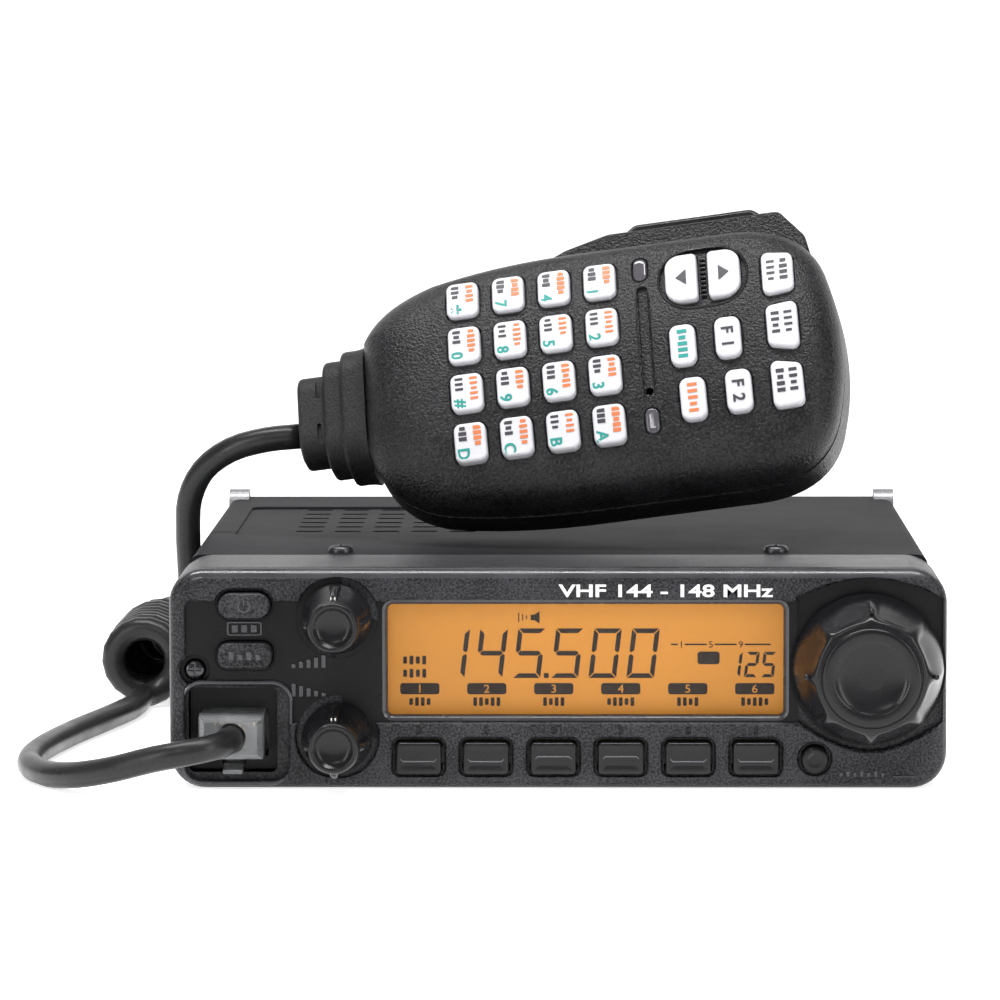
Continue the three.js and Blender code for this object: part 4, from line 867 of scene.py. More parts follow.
def digit(figure, x0, z0, width, height, stroke, slant=0.12):
    """Solids for the lit segments of one digit whose lower left corner is at x0, z0."""
    gap, s = stroke * 0.16, stroke
    mid = height / 2
    shapes = {
        "a": [(gap, height), (width - gap, height), (width - s - gap, height - s), (s + gap, height - s)],
        "d": [(gap, 0), (s + gap, s), (width - s - gap, s), (width - gap, 0)],
        "g": [(gap + s * 0.3, mid), (s, mid + s / 2), (width - s, mid + s / 2), (width - gap - s * 0.3, mid),
              (width - s, mid - s / 2), (s, mid - s / 2)],
        "f": [(0, height - gap), (s, height - s - gap), (s, mid + s / 2 + gap), (s * 0.4, mid + gap),
              (0, mid + s / 2)],
        "e": [(0, gap), (0, mid - s / 2), (s * 0.4, mid - gap), (s, mid - s / 2 - gap), (s, s + gap)],
        "b": [(width, height - gap), (width, mid + s / 2), (width - s * 0.4, mid + gap),
              (width - s, mid + s / 2 + gap), (width - s, height - s - gap)],
        "c": [(width, gap), (width - s, s + gap), (width - s, mid - s / 2 - gap), (width - s * 0.4, mid - gap),
              (width, mid - s / 2)],
    }
    return [segment([(x0 + x + slant * z, z0 + z) for x, z in shapes[key]]) for key in SEGMENTS[figure]]


def tag(x, z, width, height, radius=0.5):
    return prism(rectangle(*around(x, z, width / 2, height / 2), radius, 3), SEGMENT_Y + 0.05, SEGMENT_Y)


def small_text(text, x, z, size):
    return place_mm(lettering(text, size, 0.012), x, SEGMENT_Y, z, (1.1, 1, 1))


READING, READING_X, READING_Z, READING_PITCH = "145500", -21.9, 19.55, 6.85
CHANNEL = "125"
DIGIT_SIZE, DIGIT_STROKE = (5.0, 9.0), 0.85
marks = []
for i, figure in enumerate(READING):
    marks += digit(figure, READING_X + i * READING_PITCH, READING_Z, *DIGIT_SIZE, DIGIT_STROKE)
marks.append(tag(READING_X + 3 * READING_PITCH - 0.75, READING_Z + 0.45, 0.9, 0.9, 0.15))
for i, figure in enumerate(CHANNEL):
    marks += digit(figure, 30.5 + i * 3.05, 19.7, 2.35, 4.6, 0.55)
marks.append(tag(27.2, 23.2, 4.0, 2.3))
METER_Z, METER_FROM, METER_LONG, METER_HALF = 25.65, 20.4, 18.0, 0.14
for start, end in ((0, 0.07), (0.14, 0.36), (0.44, 0.66), (0.74, 1)):
    x0, x1 = METER_FROM + METER_LONG * start, METER_FROM + METER_LONG * end
    marks.append(segment(corners_of(x0, x1, METER_Z - METER_HALF, METER_Z + METER_HALF)))
for figure, share in (("1", 0.105), ("5", 0.40), ("9", 0.70)):
    marks.append(small_text(figure, METER_FROM + METER_LONG * share, METER_Z, 1.7))
TAG_X, TAG_PITCH, TAG_Z = -24.95, 12.1, 17.6
tag_numbers = []
for i in range(6):
    x = TAG_X + TAG_PITCH * i
    marks.append(tag(x, TAG_Z, 7.1, 2.05))
    tag_numbers.append(small_text(str(i + 1), x, TAG_Z, 2.1))
    for k in range(4 + i % 2):
        marks.append(tag(x + 1.05 * (k - (3 + i % 2) / 2), 15.25, 0.66, 1.2 + 0.35 * ((k + i) % 3 > 0), 0.15))
for level in (22.8, 20.4):
    for k in range(4):
        marks.append(tag(-27.6 + 1.15 * k, level, 0.7, 1.3 + 0.3 * (k % 2), 0.15))
ICON = (-4.9, 30.55)
marks.append(segment([(ICON[0] + x, ICON[1] + z) for x, z in (
    (0, -0.5), (0.7, -0.5), (1.6, -1.15), (1.6, 1.15), (0.7, 0.5), (0, 0.5))]))
for k in range(3):
    marks.append(segment(corners_of(*around(ICON[0] - 0.75 - 0.7 * k, ICON[1], 0.1, 0.35 + 0.25 * k))))
marks = merged("display_segments", marks)
settle(coat(marks, "display_mark"), "radio")
for thing in tag_numbers:
    thing.data.transform(Matrix.Translation((0, -0.03 * MM, 0)))
tag_numbers = merged("display_tag_numbers", tag_numbers)
settle(coat(tag_numbers, "display_amber"), "radio")

lens_low, lens_high = box_mm("display_window")
lens_outline = rectangle(lens_low.x, lens_high.x, lens_low.z, lens_high.z, 1)
lens = loft("display_window_lens", stack(lens_outline, soft_edge(lens_high.y, lens_low.y, 0.2)), "clear_lens")
settle(lens, "radio", ["display_window"])
print("display: reading", READING)

# %% [markdown]
# ## The tuning dial and the two knobs
# The dial is turned with a finger: eight shallow scallops round a conical skirt, a flat ring, and a
# dimple in its front disc. Each knob has a wide base with four ridges for the fingertips, the top one
# being the pointer, and a small dished cap. A ring whose radius changes with the angle makes both. A
# boolean with eight cylinders would also cut scallops, but their edges would be hard.

# %% Dial
def swept_rings(centre, rows, radius_at, count):
    """Rings for a turned part whose radius depends on the row and on the angle."""
    rings = []
    for row in rows:
        ring = []
        for i in range(count):
            angle = 2 * math.pi * i / count
            radius, y = radius_at(row, angle)
            ring.append(Vector((centre.x + radius * math.sin(angle), y, centre.z + radius * math.cos(angle))))
        rings.append(ring)
    return rings


dial_high = box_mm("tuning_dial")[1]
DIAL_SCALLOPS, SCALLOP_DEPTH = 8, 1.5
DIAL_ROWS = [(0, 13.0, 0), (0.25, 13.4, 0), (0.9, 13.55, 0), (2.0, 13.55, 0.06), (4.0, 13.45, 0.2),
             (6.5, 13.25, 0.45), (9.0, 12.9, 0.75), (11.2, 12.4, 0.95), (12.6, 11.9, 1.0), (13.7, 11.4, 0.85),
             (14.5, 10.9, 0.55), (15.1, 10.4, 0.25), (15.45, 9.9, 0.05), (15.6, 9.4, 0), (15.62, 9.1, 0),
             (15.45, 8.98, 0), (15.45, 8.84, 0), (15.75, 8.74, 0), (15.96, 8.4, 0), (16.0, 7.9, 0), (15.97, 7.1, 0),
             (15.88, 6.72, 0), (15.6, 6.45, 0), (15.2, 5.7, 0), (14.85, 4.4, 0), (14.68, 2.4, 0), (14.65, 0.8, 0)]
RIDGE_WIDTH = 0.17


def dial_radius(row, angle):
    """Between the eight ridges the skirt falls back in a hollow."""
    rise, radius, share = row
    phase = (angle * DIAL_SCALLOPS / (2 * math.pi)) % 1
    across = abs(phase - 0.5) * 2
    hollow = 1 - max(0.0, (across - (1 - RIDGE_WIDTH * 2)) / (RIDGE_WIDTH * 2)) ** 1.2
    hollow *= math.cos((phase - 0.5) * math.pi * 0.82)
    return radius - SCALLOP_DEPTH * share * hollow, dial_high.y - rise


dial = loft("tuning_dial_knob", swept_rings(dial_centre, DIAL_ROWS, dial_radius, 192), "knob_plastic")
for radius, deep in ((5.6, 4), (3.3, 11)):
    combine(dial, [prism(disc(dial_centre.x, dial_centre.z, radius, 32), dial_high.y + 1, dial_high.y - deep)])
settle(dial, "tuning_dial", ["tuning_dial"], angle=50)
dots = []
for turn, radius in ((0, 11.7), (90, 11.5), (270, 11.5)):
    spot = Vector((math.sin(math.radians(turn)), 0, math.cos(math.radians(turn)))) * radius
    dots.append(loft("dot", stack(disc(dial_centre.x + spot.x, dial_centre.z + spot.z, 0.5, 20),
                                  [(0, dial_high.y - 12.0), (0, dial_high.y - 14.45), (-0.2, dial_high.y - 14.7)])))
dots = merged("dial_marks", dots)
settle(coat(dots, "knob_plastic"), "tuning_dial")


# %% Knobs
def knob_radius(row, angle):
    """The base carries four ridges that run up to the cap."""
    y, base, ridge = row
    phase = (angle * 4 / (2 * math.pi) + 0.5) % 1
    across = abs(phase - 0.5) * math.pi / 2 * 6 / 0.95
    bump = max(0.0, 1 - across**2) ** 0.5 if across < 1 else 0.0
    return base + ridge * bump, y


for name, centre in zip(("volume_knob", "squelch_knob"), knob_centres):
    low, high = box_mm(name)
    rear, front = high.y, low.y
    rows = [(rear, 6.0, 0), (rear - 0.3, 6.25, 0), (rear - 2.2, 6.3, 0), (rear - 3.0, 6.2, 0.1), (rear - 4.2, 5.8, 0.5),
            (rear - 6.5, 5.3, 0.95), (rear - 9.0, 4.95, 1.2), (rear - 11.5, 4.75, 1.25), (rear - 13.5, 4.65, 1.1),
            (rear - 14.6, 4.6, 0.8), (rear - 15.2, 4.6, 0.35), (rear - 15.6, 4.6, 0), (rear - 16.3, 4.55, 0),
            (rear - 16.8, 4.35, 0), (front, 4.05, 0), (front + 0.02, 3.8, 0), (front + 0.15, 3.55, 0),
            (front + 0.75, 3.2, 0), (front + 1.15, 2.4, 0), (front + 1.3, 1.2, 0), (front + 1.32, 0.4, 0)]
    knob = loft(name + "_cap", swept_rings(centre, rows, knob_radius, 144), "knob_plastic")
    combine(knob, [prism(disc(centre.x, centre.z, 3.3, 32), rear + 1, front + 5)])
    settle(knob, name, [name], angle=50)
    groove = [bars_of(centre.x + x - 0.13, centre.x + x + 0.13, centre.z + 4.3, centre.z + 5.35, rear - 15.3, 0.6)
              for x in (-0.35, 0.35)]
    pointer = merged(name + "_pointer", groove)
    settle(coat(pointer, "plated_metal"), name)
print("dial and knobs: scallops", DIAL_SCALLOPS)

# %% [markdown]
# ## The inner parts
# Boards, controls, loudspeaker, socket, connector and casting are already complete in the frame, and their
# shapes are machined or plain. They keep their CAD meshes. Each gets its finish, and all but the loudspeaker
# a narrow bevel that catches the light on its edges as a real edge does. Modelling them again would only
# repeat the same boxes. The main board takes three finishes, chosen by the height of a face over the board.

# %% Carried CAD parts
def dress(node, names, rule=None, edge=0.3):
    """Gives a CAD node its finishes and soft edges without touching its vertices."""
    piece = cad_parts[node]
    piece.data.materials.clear()
    paint(piece, names, rule or (lambda centre, normal: 0))
    if edge:
        bevel = piece.modifiers.new("soft edges", "BEVEL")
        bevel.width, bevel.segments = edge * MM, 2
        bevel.limit_method, bevel.angle_limit = "ANGLE", math.radians(38)
        bevel.harden_normals = True
    return piece


BOARD_LEVEL = 9.75
SHIELD_LEVEL = 13.5


def board_rule(centre, normal):
    if centre.z < BOARD_LEVEL:
        return 0
    return 1 if centre.z > SHIELD_LEVEL or abs(centre.x) > 40 else 2


dress("main_board", ["board_green", "plated_metal", "knob_plastic"], board_rule, edge=0.2)
dress("control_board", ["board_green"], edge=0.1)
dress("mic_board", ["board_green"], edge=0.15)
dress("lcd_panel", ["display_amber"], edge=0.2)
dress("speaker", ["dark_metal", "speaker_paper"], lambda centre, normal: int(abs(normal.z) < 0.95), edge=0)
dress("mic_jack", ["band_plastic"], edge=0.25)
dress("antenna_connector", ["plated_metal"], edge=0.25)
dress("power_gland", ["soft_rubber"], edge=0.4)
for node in ("dial_encoder", "volume_pot", "squelch_pot"):
    dress(node, ["plated_metal"], edge=0.15)
dress("chassis", ["cast_metal"], edge=0.45)
print("carried CAD parts: 12")

# %% [markdown]
# ## The top cover
# The cover is painted sheet, folded down at both sides, and held by a screw in each front corner. Its
# section is one open outline with round folds, pushed along the case, then cut: the notches for the
# casting's lugs, the speaker's slots, and a shallow pressed field round them. The slots are the holes that
# the sound leaves by, so they go right through. A texture of slots would look the same from above, and fail
# from every other side.

# %% Cover
cover_low, cover_high = box_mm("top_cover")
SHEET, FOLD = 1.2, 2.0
FLANGE_DROP = 18
NOTCH_Y, FLANGE_END_Y = 66.0, 59.7
half = cover_high.x


def fold(radius, x, z):
    """The upper right fold as points from the side round to the top, then mirrored for the left."""
    turns = [math.pi / 2 * i / 6 for i in range(7)]
    right = [(x - radius + radius * math.cos(t), z - radius + radius * math.sin(t)) for t in turns]
    return right + [(-u, v) for u, v in reversed(right)]


foot = cover_high.z - FLANGE_DROP
outer = [(half, foot), *fold(FOLD, half, cover_high.z), (-half, foot)]
inner = [(half - SHEET, foot), *fold(FOLD - SHEET, half - SHEET, cover_high.z - SHEET), (-half + SHEET, foot)]
section = outer + inner[::-1]
FRONT_ROLL = 0.25
rings = []
for y in (cover_low.y, cover_low.y + FRONT_ROLL, cover_high.y - FRONT_ROLL, cover_high.y):
    rings.append([Vector((u, y, v)) for u, v in section])
cover = loft("top_cover_sheet", rings, "case_paint")
notches = [prism(rectangle(side * 80 - 16.1, side * 80 + 16.1, foot - 1, cover_high.z + 1, 0.1, 1),
                 NOTCH_Y, cover_high.y + 1) for side in (-1, 1)]
combine(cover, notches)
flanges = [prism(rectangle(side * 70 - 4, side * 70 + 4, foot - 1, cover_high.z - FOLD, 0.1, 1),
                 FLANGE_END_Y, NOTCH_Y + 0.5) for side in (-1, 1)]
combine(cover, flanges)


def from_above(outline, z_floor, z_top, lip=0.0):
    """A cutter that enters from above: its outline lies in x and y."""
    profile = flared(z_floor, z_top, lip) if lip else [(0, z_floor), (0, z_top)]
    rings = [[Vector((u, v, z)) for u, v in outline(grow)] for grow, z in profile]
    return loft("cutter", rings)


GRILLE_CENTRE, SLOT_SIZE, SLOT_PITCH, SLOT_COUNT = (-33.5, 20.0), (5.4, 2.2), (7.4, 9.0), (5, 7)
GRILLE_FIELD = (-62.0, -5.0, -9.5, 49.5)
combine(cover, [from_above(rectangle(*GRILLE_FIELD, 2.5), cover_high.z - 0.45, cover_high.z, 0.3)])
slots = []
for row in range(SLOT_COUNT[1]):
    for column in range(SLOT_COUNT[0]):
        x = GRILLE_CENTRE[0] + (column - (SLOT_COUNT[0] - 1) / 2) * SLOT_PITCH[0]
        y = GRILLE_CENTRE[1] + (row - (SLOT_COUNT[1] - 1) / 2) * SLOT_PITCH[1]
        a, b = SLOT_SIZE[0] / 2, SLOT_SIZE[1] / 2
        slots.append(from_above(rectangle(*around(x, y, a, b), b - 0.05, 4), cover_high.z - 3, cover_high.z + 1))
combine(cover, slots)
settle(cover, "radio", ["top_cover"], angle=28)

COVER_SCREWS = [(-40.2, -43.0), (40.2, -43.0)]
for i, (x, y) in enumerate(COVER_SCREWS):
    seat = Matrix.Translation((x, y, cover_high.z + 0.02)) @ Matrix.Rotation(math.radians(-90), 4, "X")
    screw(f"cover_screw_{i + 1}", seat, 2.3, "radio")
print("cover:", len(cover.data.polygons), "faces,", len(slots), "slots")

# %% [markdown]
# ## The plug
# A modular plug is a small clear block: gold blades at its deep end, the cable's jacket gripped inside its
# front, and a springy tongue under it that locks it in the socket. The block is a stack with chamfered
# edges. The jacket lies in a real bore and each blade in a real slot, so light passes through the block
# as through a real one. Painting the block white would be quicker, but it would look like paper.

# %% Plug, blades and tongue
plug_low, plug_high = box_mm("mic_plug")
PLUG_FOOT, TONGUE_HALF = 5.8, 1.75
plug_middle = (plug_low.x + plug_high.x) / 2
plug_outline = rectangle(plug_low.x, plug_high.x, PLUG_FOOT, plug_high.z, 0.35, 2)
plug = loft("mic_plug_block", stack(plug_outline, [(-0.3, plug_high.y), (0, plug_high.y - 0.4), (0, plug_low.y + 1.5),
                                                   (-0.25, plug_low.y + 0.8), (-1.1, plug_low.y)]), "clear_plug")
CORD_END = Vector((-58.6, -77.8, 9.8))
STUB_END_Y, STUB_RADIUS = -68.5, 2.3
combine(plug, [prism(disc(CORD_END.x, CORD_END.z, 2.75, 32), plug_low.y - 1, STUB_END_Y)])
BLADES, BLADE_PITCH, BLADE_THICK, BLADE_Z = 8, 1.02, 0.3, (10.9, 13.4)
blade_x = [plug_middle + (i - (BLADES - 1) / 2) * BLADE_PITCH for i in range(BLADES)]
combine(plug, [prism(rectangle(x - 0.26, x + 0.26, 10.6, plug_high.z + 1, 0.05, 1),
                     plug_high.y - 5.5, plug_high.y + 1) for x in blade_x])
tongue_line = [(plug_high.y - 1.5, 5.85, 5.2), (-60.5, 5.8, 4.8), (-64.0, 5.0, 4.1), (-68.0, 4.1, 3.3),
               (-71.0, 3.5, 2.75), (-72.5, 3.45, 2.7)]
tongue_sides = (plug_middle - TONGUE_HALF, plug_middle + TONGUE_HALF)
tongue = loft("tongue", [[Vector((u, y, v)) for u, v in corners_of(*tongue_sides, low, high)]
                         for y, high, low in tongue_line])
combine(plug, [tongue], "UNION")
settle(plug, "radio", ["mic_plug"], angle=25)

blades = [prism(rectangle(x - BLADE_THICK / 2, x + BLADE_THICK / 2, *BLADE_Z, 0.05, 1),
                plug_high.y - 5.2, plug_high.y - 0.5) for x in blade_x]
blades = merged("plug_blades", blades)
settle(coat(blades, "contact_gold"), "radio")
stub = loft("cord_stub", stack(disc(CORD_END.x, CORD_END.z, STUB_RADIUS, 24),
                               [(0, CORD_END.y + 0.1), (0, STUB_END_Y - 0.6), (-0.5, STUB_END_Y - 0.2)]), "cord_jacket")
settle(stub, "radio")
print("plug:", BLADES, "blades")

# %% [markdown]
# ## The cord in place
# A real cord's last part follows the handset when that is picked up. Here the cord is one smooth tube
# that takes the place of the three CAD cord pieces, and its place is baked into its mesh. It rides on no
# body. It stays one tube throughout.

# %% Cord in place
for polygon in cord.data.polygons:
    polygon.use_smooth = True
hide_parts("cord_plug_end", "cord_coil", "cord_mic_end")
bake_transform(cord)

# %% [markdown]
# ## The handset's shape
# The handset leans on the cover, so its pieces are made lying straight in a frame of their own, with x
# towards its top end and y to its back, and then turned into place. Its two shells are lofts of one
# outline. Each ring is the outline drawn in by its own share along and across, because the back is far
# more rounded across than along. Behind the rim the face rises in a low crown. Blending three extrusions
# by booleans gives the same volume, as the frame does, but every blend stays a crease.

# %% Handset frame and outline
MIC_PLACE, MIC_YAW, MIC_TILT, MIC_LEAN = (9.76, -18.25, 67.405), 7.1, 8, 28
mic_turn = Matrix.Rotation(math.radians(-MIC_YAW), 4, "Z")
mic_turn = mic_turn @ Matrix.Rotation(math.radians(-MIC_TILT), 4, "Y")
mic_turn = mic_turn @ Matrix.Rotation(math.radians(-MIC_LEAN), 4, "X")
mic_mm = Matrix.Translation(MIC_PLACE) @ mic_turn
mic_metres = Matrix.Scale(MM, 4) @ mic_mm @ Matrix.Scale(1 / MM, 4)
mic_local = mic_mm.inverted()

MIC_END, MIC_HALF, MIC_DEEP, MIC_WALL = 45.3, 26.0, 16.0, 2.2
NECK_Z = 2.0
PARTING_Y = -6.0
BACK_START_Y = -5.7


def bent(a, control, b, steps):
    """Points along a quadratic curve, without its last point."""
    points = []
    for i in range(steps):
        t = i / steps
        points.append(Vector(a) * (1 - t) ** 2 + Vector(control) * 2 * t * (1 - t) + Vector(b) * t**2)
    return points


def straight(a, b, steps):
    return [Vector(a).lerp(Vector(b), i / steps) for i in range(steps)]


e, h, neck = MIC_END, MIC_HALF, MIC_HALF * 0.44
mic_outline = [
    *straight((-e, NECK_Z + neck), (-e, NECK_Z - neck), 6),
    *bent((-e, NECK_Z - neck), (-e + 3, -h * 0.77), (-e + 13, -h * 0.89), 9),
    *bent((-e + 13, -h * 0.89), (-e + 26, -h), (-e + 42, -h), 9),
    *straight((-e + 42, -h), (e - 19, -h), 8),
    *bent((e - 19, -h), (e - 4, -h), (e - 1.6, -h * 0.5), 12),
    *bent((e - 1.6, -h * 0.5), (e + 1.6, 0), (e - 1.6, h * 0.5), 10),
    *bent((e - 1.6, h * 0.5), (e - 4, h), (e - 19, h), 12),
    *straight((e - 19, h), (-e + 42, h), 8),
    *bent((-e + 42, h), (-e + 26, h), (-e + 13, h * 0.89), 9),
    *bent((-e + 13, h * 0.89), (-e + 3, h * 0.77), (-e, NECK_Z + neck), 9),
]
print("handset outline:", len(mic_outline), "points")

# %% Handset rings
FACE_CROWN, FACE_EDGE = 2.1, 0.79


def crown(z):
    """How far the face falls back at z from its highest line."""
    return FACE_CROWN * (z / (FACE_EDGE * MIC_HALF)) ** 2


def quadratic(a, b, c, t):
    return a * (1 - t) ** 2 + b * 2 * t * (1 - t) + c * t**2


FACE_ROWS = [(0, 1, 1, 0.990), (0.25, 1, 1, 0.985)]
for i in range(1, 10):
    t = i / 9
    FACE_ROWS.append((quadratic(0.25, 0.93, 1, t), quadratic(1, 0.985, 0.852, t), quadratic(1, 0.96, 0.765, t),
                      quadratic(0.985, 0.962, FACE_EDGE, t)))
FACE_ROWS += [(1, 0.852 * k, 0.765 * k, FACE_EDGE * k) for k in (0.9, 0.75, 0.6, 0.45, 0.3, 0.15, 0.04)]
BACK_ROWS = [(BACK_START_Y, 1, 1), (-2, 1, 1), (1, 1, 0.993)]
for i in range(1, 9):
    t = i / 8
    BACK_ROWS.append((quadratic(1, 5.6, 11.2, t), quadratic(1, 0.995, 0.955, t), quadratic(0.993, 0.9, 0.7, t)))
for i in range(1, 8):
    t = i / 7
    BACK_ROWS.append((quadratic(11.2, 16, 16, t), quadratic(0.955, 0.90, 0.77, t), quadratic(0.7, 0.56, 0.42, t)))


def shell_rings(kind, inset=0.0, beyond=0.0):
    """Rings of the face half or the back half. inset is the wall for the hollow inside, in millimetres."""
    along, deep, across = [1 - 2 * inset / size for size in (2 * MIC_END, 2 * MIC_DEEP, 2 * MIC_HALF)]
    rings = []
    if kind == "face":
        for share, right, left, up in FACE_ROWS:
            ring = []
            for x, z in mic_outline:
                u, v = x * (right if x > 0 else left), z * up
                face = -MIC_DEEP + min(crown(v), FACE_CROWN)
                start = PARTING_Y + (beyond if share == 0 else 0)
                ring.append(Vector((u * along, (start + (face - start) * share) * (deep if share else 1), v * across)))
            rings.append(ring)
    else:
        for y, along_share, up in BACK_ROWS:
            start = y - (beyond if y == BACK_START_Y else 0)
            depth = start * (deep if y > 0 else 1)
            rings.append([Vector((x * along_share * along, depth, z * up * across)) for x, z in mic_outline])
        final = rings[-1]
        rings += [[Vector((p.x * k, p.y, p.z * k)) for p in final] for k in (0.7, 0.35, 0.05)]
    return rings


def crowned(piece):
    """Bends a piece that was made on a flat face, so that it follows the crown."""
    for vertex in piece.data.vertices:
        if vertex.co.y < -13 * MM:
            vertex.co.y += crown(vertex.co.z / MM) * MM
    return piece


print("handset rings:", len(FACE_ROWS), "for the face,", len(BACK_ROWS) + 3, "for the back")

# %% [markdown]
# ## The handset's face
# The face is a hollow shell with a hole for every key, a groove from lamp to lamp with the sound hole in
# it, and an oval field for the two arrow keys. The cutters are made on a flat face and then bent with the
# crown, so every hole stands square to it. Each key is bent in the same way, and the gap round it stays even.

# %% Handset face
MIC_FACE_Y = -MIC_DEEP
mic_key_boxes = {}
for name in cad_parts:
    if name.startswith(("keypad_key", "side_key", "small_key")) or name in ("up_key", "down_key"):
        mic_key_boxes[name] = box_mm(name, into=mic_local)
MIC_KEY_CORNERS = {"keypad": 1.4, "side": 1.3, "small": 1.6}
SIDE_SHIFTS = {"side_key_1": (0, 0.7, -0.9, 0), "side_key_2": (0.8, -0.5, 0, -0.6), "side_key_3": (0, 0.3, -1.2, 0)}


def mic_key_outline(name, grow=0.0):
    """The outline of a handset key. Side keys are cut at a slant, and arrow keys are round on one side."""
    low, high = mic_key_boxes[name]
    lower_left, lower_right, upper_right, upper_left = SIDE_SHIFTS.get(name, (0, 0, 0, 0))
    corners = [(low.x, low.z + lower_left), (high.x, low.z + lower_right),
               (high.x, high.z + upper_right), (low.x, high.z + upper_left)]
    radii = [MIC_KEY_CORNERS.get(name.split("_")[0], 1.4)] * 4
    if name == "down_key":
        radii = [2.9, 0.9, 0.9, 2.9]
    if name == "up_key":
        radii = [0.9, 2.9, 2.9, 0.9]
    return lambda more: polygon_outline(corners, radii, steps=6)(grow + more)


LAMPS = [(9.22, 18.0), (9.58, -13.49)]
LAMP_SIZE = (2.6, 4.9)
GROOVE = (8.5, 10.3, -9.4, 14.2)
SOUND_HOLE = (9.4, -7.3, 0.75)
ARROW_FIELD = (12.9, 29.2, 8.4, 20.8)


def lamp_outline(x, z, grow=0.0):
    a, b = LAMP_SIZE[0] / 2 + grow, LAMP_SIZE[1] / 2 + grow
    return rectangle(*around(x, z, a, b), a - 0.05, 6)


face_shell = loft("handset_face", shell_rings("face"))
combine(face_shell, [loft("hollow", shell_rings("face", MIC_WALL, beyond=5))])
fields = [cutter(rectangle(*ARROW_FIELD, 6.0, 8), MIC_FACE_Y + 0.55, MIC_FACE_Y, 0.35),
          cutter(rectangle(*GROOVE, 0.85, 5), MIC_FACE_Y + 0.7, MIC_FACE_Y, 0.25),
          *[cutter(lamp_outline(x, z, 0.15), MIC_FACE_Y + 0.9, MIC_FACE_Y, 0.3) for x, z in LAMPS]]
for name in mic_key_boxes:
    if name not in ("up_key", "down_key"):
        fields.append(cutter(mic_key_outline(name, 0.34), MIC_FACE_Y + 0.35, MIC_FACE_Y, 0.22))
combine(face_shell, [crowned(merged("fields", fields))])
holes = [mic_key_outline(name, 0.24) for name in mic_key_boxes] + [disc(*SOUND_HOLE, 20)]
holes = [prism(outline, MIC_FACE_Y - 2, -9) for outline in holes]
combine(face_shell, [merged("holes", holes)])
settle(coat(face_shell, "handset_plastic"), "mic", ["mic_front_shell"], angle=30, matrix=mic_metres)

small_parts = []
x0, x1, z0, z1 = ARROW_FIELD
rim = loft("rim", stack(rectangle(x0 - 0.5, x1 + 0.5, z0 - 0.5, z1 + 0.5, 6.5, 8),
                        [(0, MIC_FACE_Y + 0.5), (0, MIC_FACE_Y - 0.05), (-0.14, MIC_FACE_Y - 0.22)]))
combine(rim, [loft("cut", stack(rectangle(x0, x1, z0, z1, 6.0, 8),
                                [(0, MIC_FACE_Y + 1), (0, MIC_FACE_Y), (0.14, MIC_FACE_Y - 0.3)]))])
small_parts.append(rim)
arrow_middle = (mic_key_boxes["down_key"][1].x + mic_key_boxes["up_key"][0].x) / 2
for i in range(9):
    z = 10.6 + i
    small_parts.append(bars_of(*around(arrow_middle, z, 0.55, 0.25), MIC_FACE_Y + 0.1, 0.6))
small_parts = crowned(merged("arrow_rim_and_ribs", small_parts))
settle(coat(small_parts, "knob_plastic"), "mic", matrix=mic_metres)
lamps = [loft("lamp", stack(lamp_outline(x, z), dished(MIC_FACE_Y + 0.85, MIC_FACE_Y - 0.3, 0.45, -0.05, 0.3)))
         for x, z in LAMPS]
lamps = crowned(merged("lamp_lenses", lamps))
settle(coat(lamps, "lamp_lens"), "mic", matrix=mic_metres)
print("handset face:", len(face_shell.data.polygons), "faces,", len(mic_key_boxes), "key holes")

# %% [markdown]
# ## The handset's keys
# Every key is a white cap with a soft, slightly hollow front. The numerals, letters and arrows are generic
# keypad marks. The small words of a real handset become rows of short strokes in the same three
# colours. They are thin solids on the caps, turned a quarter as on the real keys, since the handset is
# held upright in the hand.

# %% Handset keys and legends
KEY_EDGE, KEY_DISH = 0.5, 0.12
LEGEND_FONT, STAR_FONT = 3.1, 5.2


def legend_text(text, x, z, y_front, size=LEGEND_FONT):
    """A character turned a quarter clockwise, so that it reads downward."""
    piece = lettering(text, size, 0.02, bold=0.025)
    piece.data.transform(Matrix.Rotation(math.radians(90), 4, "Y"))
    return place_mm(piece, x, y_front, z)


def word_strokes(x, z_top, count, y_front, seed, high=1.5, pitch=1.02):
    """A row of strokes that stands for a short word, running down from z_top."""
    strokes = []
    for i in range(count):
        wide = 0.5 + 0.25 * ((seed * 7 + i * 3) % 3) / 2
        tall = high * (1 - 0.28 * ((seed + i * 5) % 4 == 1))
        z = z_top - i * pitch
        strokes.append(slab(corners_of(*around(x, z, tall / 2, wide / 2)), y_front + 0.06, y_front))
    return strokes


LEGENDS = {"star": "*", "pound": "#"}


def add_print(name, material, parts):
    legend = merged(f"{name}_{material}", [crowned(part) for part in parts])
    settle(coat(legend, material), name, matrix=mic_metres)


